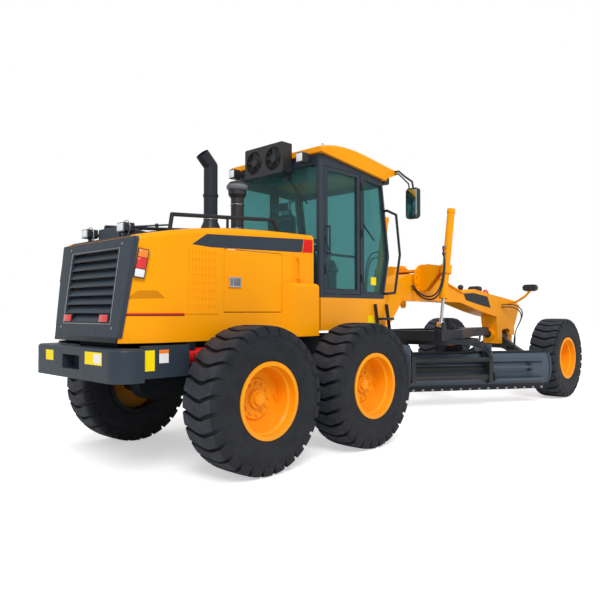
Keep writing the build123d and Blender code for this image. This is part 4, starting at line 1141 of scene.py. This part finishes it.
# Station and height of the side wiper's two ends
WIPER_TIP = (1.372, 2.432)
WIPER_PIVOT = (1.268, 2.512)
MIRROR_Y = 1.100
MIRROR_Z = 2.787


class GRADER_OT_cab_trim(Operator):
    """Add seals, wipers, locks, hinges, lifting rings, lamps, mirror glasses and blank labels to the cab"""

    bl_idname = "grader.cab_trim"
    bl_label = "Cab Trim"

    def execute(self, context):
        for side_name, side in SIDES:
            self.doors_and_windows(side_name, side)
            self.side_wiper(side_name, side)
            mirror = touch("mirrors", at(0, side * MIRROR_Y, MIRROR_Z), AHEAD)
            face = tile("mirror_glass_" + side_name, mirror, RIGHT, UP, (0.150, 0.340), 0.002, 0.001)
            settle(face, "rear", "mirror_glass")
            eye = touch("cab_roof", at(0.640, side * 0.650, 5), DOWN)
            hoop = ring("roof_ring", eye + rise(0.016), (0, 1, 0), 0.020, 0.005, 28, 10)
            foot = rod("roof_ring_foot", eye - rise(0.004), eye + rise(0.006), 0.016, 20, 0.002)
            settle(joined("roof_ring_" + side_name, [hoop, foot]), "rear", "steel")
        back = loop("rear_seal", [at(CAB_REAR + 0.002, y, z) for y, z in REAR_WINDOW], 0.008)
        settle(back, "rear", "black_plastic")
        x = touch("cab_glass", at(-1, -0.25, 2.95), AHEAD).x - PIVOT_X
        motor = block("wiper_motor", at(x - 0.060, -0.275, 2.990), at(x - 0.004, -0.195, 3.060), 0.010)
        arm = rod("wiper_arm", at(x - 0.024, -0.245, 3.000), at(x - 0.016, -0.400, 2.835), 0.006, 12)
        blade = rod("wiper_blade", at(x - 0.010, -0.290, 2.955), at(x - 0.010, -0.530, 2.695), 0.008, 8)
        settle(joined("rear_wiper", [motor, arm, blade]), "rear", "black_plastic")
        rear = tile("rear_work_lens", at(0.3295, 0.585, 3.178), RIGHT, UP, (0.088, 0.090), 0.008, 0.004)
        settle(on_both_sides(rear, "rear_work_lenses"), "rear", "clear_lens")
        box = block("front_lamp_box", at(1.690, 0.615, 3.070), at(1.800, 0.745, 3.190), 0.012)
        hanger = block("front_lamp_hanger", at(1.720, 0.660, 3.180), at(1.770, 0.700, 3.252), 0.004)
        boxes = on_both_sides(joined("front_lamp_box", [box, hanger]), "front_lamp_boxes")
        settle(boxes, "rear", "black_plastic")
        beam = tile("front_work_lens", at(1.799, 0.680, 3.130), (0, 1, 0), UP, (0.104, 0.094), 0.008, 0.004)
        settle(on_both_sides(beam, "front_work_lenses"), "rear", "clear_lens")
        pane = touch("cab_glass", at(1.480, -2, 1.840), (0, 1, 0))
        label = tile("window_label", pane, AHEAD, UP, (0.105, 0.095), 0.0006)
        settle(label, "rear", "yellow_plate")
        strip = tile("skirt_label", at(1.400, -CAB_HALF, 1.345), AHEAD, UP, (0.110, 0.150), 0.0008)
        settle(strip, "rear", "yellow_plate")
        return {"FINISHED"}

    def doors_and_windows(self, side_name, side):
        skin_y = side * (CAB_HALF - 0.002)
        across = (-side, 0, 0)
        seal = loop("side_seal_" + side_name, [at(x, skin_y, z) for x, z in SIDE_WINDOW], 0.007)
        settle(seal, "rear", "black_plastic")
        locks = [loop("door_seal", [at(x, skin_y, z) for x, z in DOOR_WINDOW], 0.007)]
        locks += [tile("lock", at(0.582, side * CAB_HALF, z), across, UP, size, thickness, round_by)
                  for z, size, thickness, round_by in ((2.280, (0.022, 0.060), 0.012, 0.004),
                                                       (1.938, (0.030, 0.090), 0.018, 0.006))]
        settle(joined("door_locks_" + side_name, locks), "cab_door_" + side_name, "black_plastic")
        knuckles = []
        for z in (1.862, 2.400, 2.960):
            foot = at(HINGE_X, side * 0.758, z - 0.045)
            knuckles.append(rod("pin", foot, foot + rise(0.090), 0.011, 16, 0.002))
            leaf = at(HINGE_X + 0.016, side * (CAB_HALF - 0.001), z)
            knuckles.append(tile("leaf", leaf, across, UP, (0.034, 0.076), 0.006, 0.002))
        settle(joined("door_hinges_" + side_name, knuckles), "rear", "black_paint")

    def side_wiper(self, side_name, side):
        pane_y = touch("cab_glass", at(1.275, side * 2, 2.507), (0, -side, 0)).y

        def over_pane(place, height):
            return at(place[0], pane_y + side * height, place[1])

        arm = rod("arm", over_pane(WIPER_PIVOT, 0.016), over_pane(WIPER_TIP, 0.012), 0.005, 12)
        blade = tile("blade", over_pane(WIPER_TIP, 0.0005), (0.787 * -side, 0, 0.617 * side),
                     (0.617, 0, 0.787), (0.300, 0.012), 0.014, 0.003)
        root = at(WIPER_PIVOT[0], side * (CAB_HALF - 0.006), WIPER_PIVOT[1])
        pivot = rod("pivot", root, over_pane(WIPER_PIVOT, 0.028), 0.014, 20, 0.002)
        settle(joined("side_wiper_" + side_name, [arm, blade, pivot]), "rear", "black_plastic")


# The blank panel on the front frame's side, as station and height
LABEL_OUTLINE = [
    (4.720, 1.772), (4.800, 1.662), (5.260, 1.590), (5.690, 1.535), (5.570, 1.735), (5.060, 1.790),
]


class GRADER_OT_front_trim(Operator):
    """Add the front frame's blank panel, lamp, beacon, headlamp lenses and the saddle's bolts"""

    bl_idname = "grader.front_trim"
    bl_label = "Front Trim"

    def execute(self, context):
        pod = turned("lens_disc", [(0, -0.004), (0.050, -0.004), (0.052, 0.002), (0.046, 0.008),
                                   (0.028, 0.013), (0, 0.015)], (0, 0, 0), AHEAD)
        pod.data.transform(Matrix.Diagonal((1, 2.15, 1, 1)))
        face = touch("headlamps", (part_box("headlamps")[1].x + 1, 0.550, 1.905), (-1, 0, 0))
        pod.data.transform(Matrix.Translation(face))
        settle(on_both_sides(pod, "headlamp_lenses"), "front", "clear_lens")
        beam_y = touch("front_frame", at(5.0, 3, 1.70), RIGHT).y
        panel = plate("beam_panel", [at(x, beam_y - 0.001, z) for x, z in LABEL_OUTLINE], (0, 0.0022, 0))
        settle(on_both_sides(panel, "beam_panels"), "front", "black_paint")
        top = touch("front_frame", at(4.880, 0, 4), DOWN)
        centre = top + rise(0.078)
        stem = rod("stem", top - rise(0.010), top + rise(0.040), 0.012, 16)
        case = turned("case", [(0, -0.040), (0.028, -0.036), (0.042, -0.010), (0.046, 0.020), (0.046, 0.030),
                               (0, 0.030)], centre, AHEAD, 32)
        settle(joined("beam_lamp_0", [stem, case]), "front", "black_plastic")
        beam = turned("beam_lens_0", [(0, 0.028), (0.040, 0.028), (0.038, 0.036), (0.020, 0.042), (0, 0.043)],
                      centre, AHEAD, 32)
        settle(beam, "front", "clear_lens")
        top = touch("front_frame", at(5.782, 0, 4), DOWN)
        outline = [(0, -0.006), (0.082, -0.006), (0.082, 0.010), (0.064, 0.022), (0, 0.022)]
        socket = turned("beacon_base", outline, top, UP)
        settle(socket, "front", "black_plastic")
        cone = turned("beacon", [(0, 0.020), (0.062, 0.020), (0.056, 0.050), (0.040, 0.082), (0.018, 0.100),
                                 (0, 0.104)], top, UP)
        settle(cone, "front", "red_lens")
        for side_name, side in SIDES:
            index = touch("saddle", at(3.420, side * 3, 1.760), (0, -side, 0)).y
            spots = circle_of(6, at(3.420, index, 1.950), 0.060)
            heads = bolts("saddle_bolts_" + side_name, spots, (0, side, 0), 0.011, 0.012)
            settle(heads, "front", "steel")
        return {"FINISHED"}


# Routes of the hoses on the left, from the frame's side: station, distance from the middle and height
LIFT_HOSE = [
    (3.168, 0.140, 1.856), (3.165, 0.195, 1.850), (3.105, 0.300, 1.765), (3.060, 0.440, 1.695),
    (3.060, 0.560, 1.678), (3.083, 0.655, 1.738), (3.136, 0.695, 1.895), (3.172, 0.705, 2.096),
    (3.200, 0.695, 2.260),
]
NOSE_HOSE = [
    (6.120, 0.140, 1.590), (6.160, 0.200, 1.600), (6.320, 0.290, 1.600), (6.480, 0.335, 1.550),
    (6.590, 0.345, 1.440), (6.480, 0.345, 1.300), (6.290, 0.345, 1.150),
]


class GRADER_OT_hoses(Operator):
    """Add the hydraulic hoses of the lift cylinders and of the nose, with their fittings"""

    bl_idname = "grader.hoses"
    bl_label = "Hoses"

    def execute(self, context):
        for side_name, side in SIDES:
            for number, (shift, port) in enumerate(((0.0, 2.420), (0.042, 2.330))):
                self.lift_hose("%d_%s" % (number, side_name), side, shift, port, "lift_barrel_" + side_name)
            for number, shift in enumerate((0.0, 0.045)):
                self.nose_hose("%d_%s" % (number, side_name), side, shift)
        return {"FINISHED"}

    def lift_hose(self, name, side, shift, port, barrel):
        """A hose from the frame's side to a port on the barrel, given by its height."""
        axis_x = 3.250 + (port - 1.270) * 0.180
        route = [(x + shift * 0.7, y - shift * 0.2, z - shift) for x, y, z in LIFT_HOSE]
        route += [(3.240, 0.645, port - 0.028), (axis_x - 0.135, 0.602, port), (axis_x - 0.070, 0.600, port)]
        points = [at(x, side * y, z) for x, y, z in route]
        hose("lift_hose_" + name, points, 0.024)

        def along_port(distance):
            return at(axis_x - 0.048 - distance, side * 0.600, port)

        nut = rod("hose_end", along_port(0), along_port(0.034), 0.019, 6, 0.002)
        sleeve = rod("hose_sleeve", along_port(0.030), along_port(0.062), 0.0155, 20, 0.002)
        out = Vector((0, side, 0))
        outlet = rod("hose_outlet_" + name, points[0] + out * 0.012, points[0] + out * 0.045, 0.018, 6, 0.002)
        settle(joined("hose_fitting_" + name, [nut, sleeve]), barrel, "steel")
        settle(outlet, "front", "steel")

    def nose_hose(self, name, side, shift):
        """A hose from the nose that loops down to the front axle."""
        foot = touch("front_axle", at(6.190 + shift, side * 0.345, 3), DOWN)
        route = [(x - shift * 0.6, y - shift * 0.2, z - shift) for x, y, z in NOSE_HOSE]
        points = [at(x, side * y, z) for x, y, z in route]
        points += [foot + Vector((0.012, 0, 0.120)), foot + rise(0.045), foot - rise(0.004)]
        hose("nose_hose_" + name, points, 0.020)
        tip = rod("nose_fitting_" + name, foot - rise(0.004), foot + rise(0.035), 0.014, 6, 0.002)
        settle(tip, "front_axle", "steel")


BLADE_PLACE = (4.000, 0.0)
BLADE_TURN = radians(57)


def on_blade(x, y, z):
    """A point given in the blade's own frame, square to its edge."""
    return at(BLADE_PLACE[0] + x * cos(BLADE_TURN) - y * sin(BLADE_TURN),
              BLADE_PLACE[1] + x * sin(BLADE_TURN) + y * cos(BLADE_TURN), z)


# Stiffening plates outside the circle's arms: distance from the middle, and outline along the blade's frame
ARM_FACE = 0.657
ARM_OUTLINE = [(0.000, 0.970), (-0.640, 0.970), (-0.675, 0.520), (-0.620, 0.520)]


# The cutting edge's bolts: their number, the first one's place along the blade and the step to the next
EDGE_BOLTS = 23
EDGE_START = -1.74
EDGE_STEP = 0.1582
# The end plates' bolts, as station in the blade's frame and height
END_BOLTS = ((-0.330, 0.40), (-0.360, 0.50), (-0.365, 0.60), (-0.360, 0.70), (-0.330, 0.79))


def edge_row(name, x, z, out, height):
    """A row of bolts along the cutting edge, on one face of the moldboard."""
    spots = [touch("moldboard", on_blade(x, EDGE_START + EDGE_STEP * i, z), -out) for i in range(EDGE_BOLTS)]
    return bolts(name, spots, out, 0.014, height)


class GRADER_OT_blade_trim(Operator):
    """Add the cutting edge's bolts, the end plates' bolts, the arms' stiffeners and the blade's reflectors"""

    bl_idname = "grader.blade_trim"
    bl_label = "Blade Trim"

    def execute(self, context):
        forward = Vector((cos(BLADE_TURN), sin(BLADE_TURN), 0))
        along = Vector((-sin(BLADE_TURN), cos(BLADE_TURN), 0))
        front = edge_row("edge_bolts", 1.0, 0.272, forward, 0.008)
        back = edge_row("edge_nuts", -1.0, 0.262, -forward, 0.016)
        settle(joined("edge_bolts", [front, back]), "blade", "steel")
        ends = []
        for side in (1, -1):
            for x, z in END_BOLTS:
                spot = touch("moldboard", on_blade(x, side * 3, z), -along * side)
                ends.append(bolts("end_bolt", [spot], along * side, 0.015, 0.014))
        settle(joined("end_bolts", ends), "blade", "steel")
        arms = []
        for side in (1, -1):
            outline = [on_blade(x, side * ARM_FACE, z) for x, z in ARM_OUTLINE]
            arms.append(plate("arm", outline, along * side * 0.012, 0.003))
        settle(joined("side_arm_plates", arms), "circle", "arm_paint")
        for number, side in enumerate((1, -1)):
            spot = touch("moldboard", on_blade(-0.352, side * 3, 0.742), -along * side)
            mark = tile("blade_reflector_%d" % number, spot, forward * -side, UP, (0.060, 0.030),
                        0.003, 0.001)
            settle(mark, "blade", "yellow_plate")
        return {"FINISHED"}


class GRADER_OT_stage(Operator):
    """Set the camera, the soft light and the pale floor"""

    bl_idname = "grader.stage"
    bl_label = "Stage"

    def execute(self, context):
        stage = context.scene.grader_stage
        start_clean()
        turn = (pi / 2 + stage.pitch, 0, stage.yaw - pi / 2)
        bpy.ops.object.camera_add(location=at(*stage.eye), rotation=turn)
        camera = context.object
        camera.data.lens = stage.lens
        camera.data.sensor_width = 36
        camera.data.clip_end = 200
        context.scene.camera = camera
        bpy.ops.object.light_add(type="SUN", rotation=(radians(42), radians(-18), radians(-20)))
        sun = context.object
        sun.data.energy = stage.sun
        sun.data.angle = radians(25)
        world = bpy.data.worlds.new("sky")
        world.use_nodes = True
        context.scene.world = world
        nodes, links = world.node_tree.nodes, world.node_tree.links
        background = nodes["Background"]
        white = nodes.new("ShaderNodeBackground")
        for light, strength in ((background, stage.sky), (white, 1.0)):
            set_inputs(light, Color=(1, 1, 1, 1), Strength=strength)
        seen_as(nodes, links, background.outputs["Background"], white.outputs["Background"], "World Output")
        floor = added("floor", "grid", x_subdivisions=8, y_subdivisions=8, size=120, location=(0, 0, 0))
        floor.data.materials.append(floor_material())
        context.scene.view_settings.view_transform = "Standard"
        return {"FINISHED"}


def seen_as(nodes, links, usual, seen, output):
    """Gives the camera one shader, also through glass, and all other light another."""
    rays = nodes.new("ShaderNodeLightPath")
    total = nodes.new("ShaderNodeMath")
    total.use_clamp = True
    links.new(rays.outputs["Is Camera Ray"], total.inputs[0])
    links.new(rays.outputs["Is Transmission Ray"], total.inputs[1])
    mix = nodes.new("ShaderNodeMixShader")
    links.new(total.outputs["Value"], mix.inputs["Fac"])
    links.new(usual, mix.inputs[1])
    links.new(seen, mix.inputs[2])
    links.new(mix.outputs["Shader"], nodes[output].inputs["Surface"])


def floor_material():
    """Pale floor that the camera sees as white, with the shadow kept."""
    material, nodes, links, shader = start_material("floor")
    set_inputs(shader, Base_Color=(0.78, 0.78, 0.79, 1), Roughness=0.9)
    glow = nodes.new("ShaderNodeEmission")
    glow.inputs["Strength"].default_value = 0.5
    both = nodes.new("ShaderNodeAddShader")
    links.new(shader.outputs["BSDF"], both.inputs[0])
    links.new(glow.outputs["Emission"], both.inputs[1])
    seen_as(nodes, links, shader.outputs["BSDF"], both.outputs["Shader"], "Material Output")
    return material


OPERATORS = (
    GRADER_OT_stage,
    GRADER_OT_frame_finish,
    GRADER_OT_side_stripes,
    GRADER_OT_tyres,
    GRADER_OT_wheel_nuts,
    GRADER_OT_tail_trim,
    GRADER_OT_tail_lamps,
    GRADER_OT_bumper_plates,
    GRADER_OT_door_latches,
    GRADER_OT_stack_trim,
    GRADER_OT_seat,
    GRADER_OT_cab_inside,
    GRADER_OT_cab_trim,
    GRADER_OT_front_trim,
    GRADER_OT_hoses,
    GRADER_OT_blade_trim,
)


class GRADER_PT_panel(Panel):
    """Lists the grader's pieces and its colours"""

    bl_idname = "GRADER_PT_panel"
    bl_label = "Motor Grader"
    bl_space_type = "VIEW_3D"
    bl_region_type = "UI"
    bl_category = "Grader"

    def draw(self, context):
        for operator in OPERATORS:
            self.layout.operator(operator.bl_idname)
        for group in (context.scene.grader_colours, context.scene.grader_stage):
            for key in group.__annotations__:
                self.layout.prop(group, key)


GROUPS = (GraderColours, GraderStage)


def register():
    for item in (*GROUPS, *OPERATORS, GRADER_PT_panel):
        bpy.utils.register_class(item)
    bpy.types.Scene.grader_colours = PointerProperty(type=GraderColours)
    bpy.types.Scene.grader_stage = PointerProperty(type=GraderStage)


def unregister():
    del bpy.types.Scene.grader_colours
    del bpy.types.Scene.grader_stage
    for item in reversed((*GROUPS, *OPERATORS, GRADER_PT_panel)):
        bpy.utils.unregister_class(item)


def main():
    register()
    for operator in OPERATORS:
        group, name = operator.bl_idname.split(".")
        getattr(getattr(bpy.ops, group), name)()


if __name__ == "__main__":
    main()
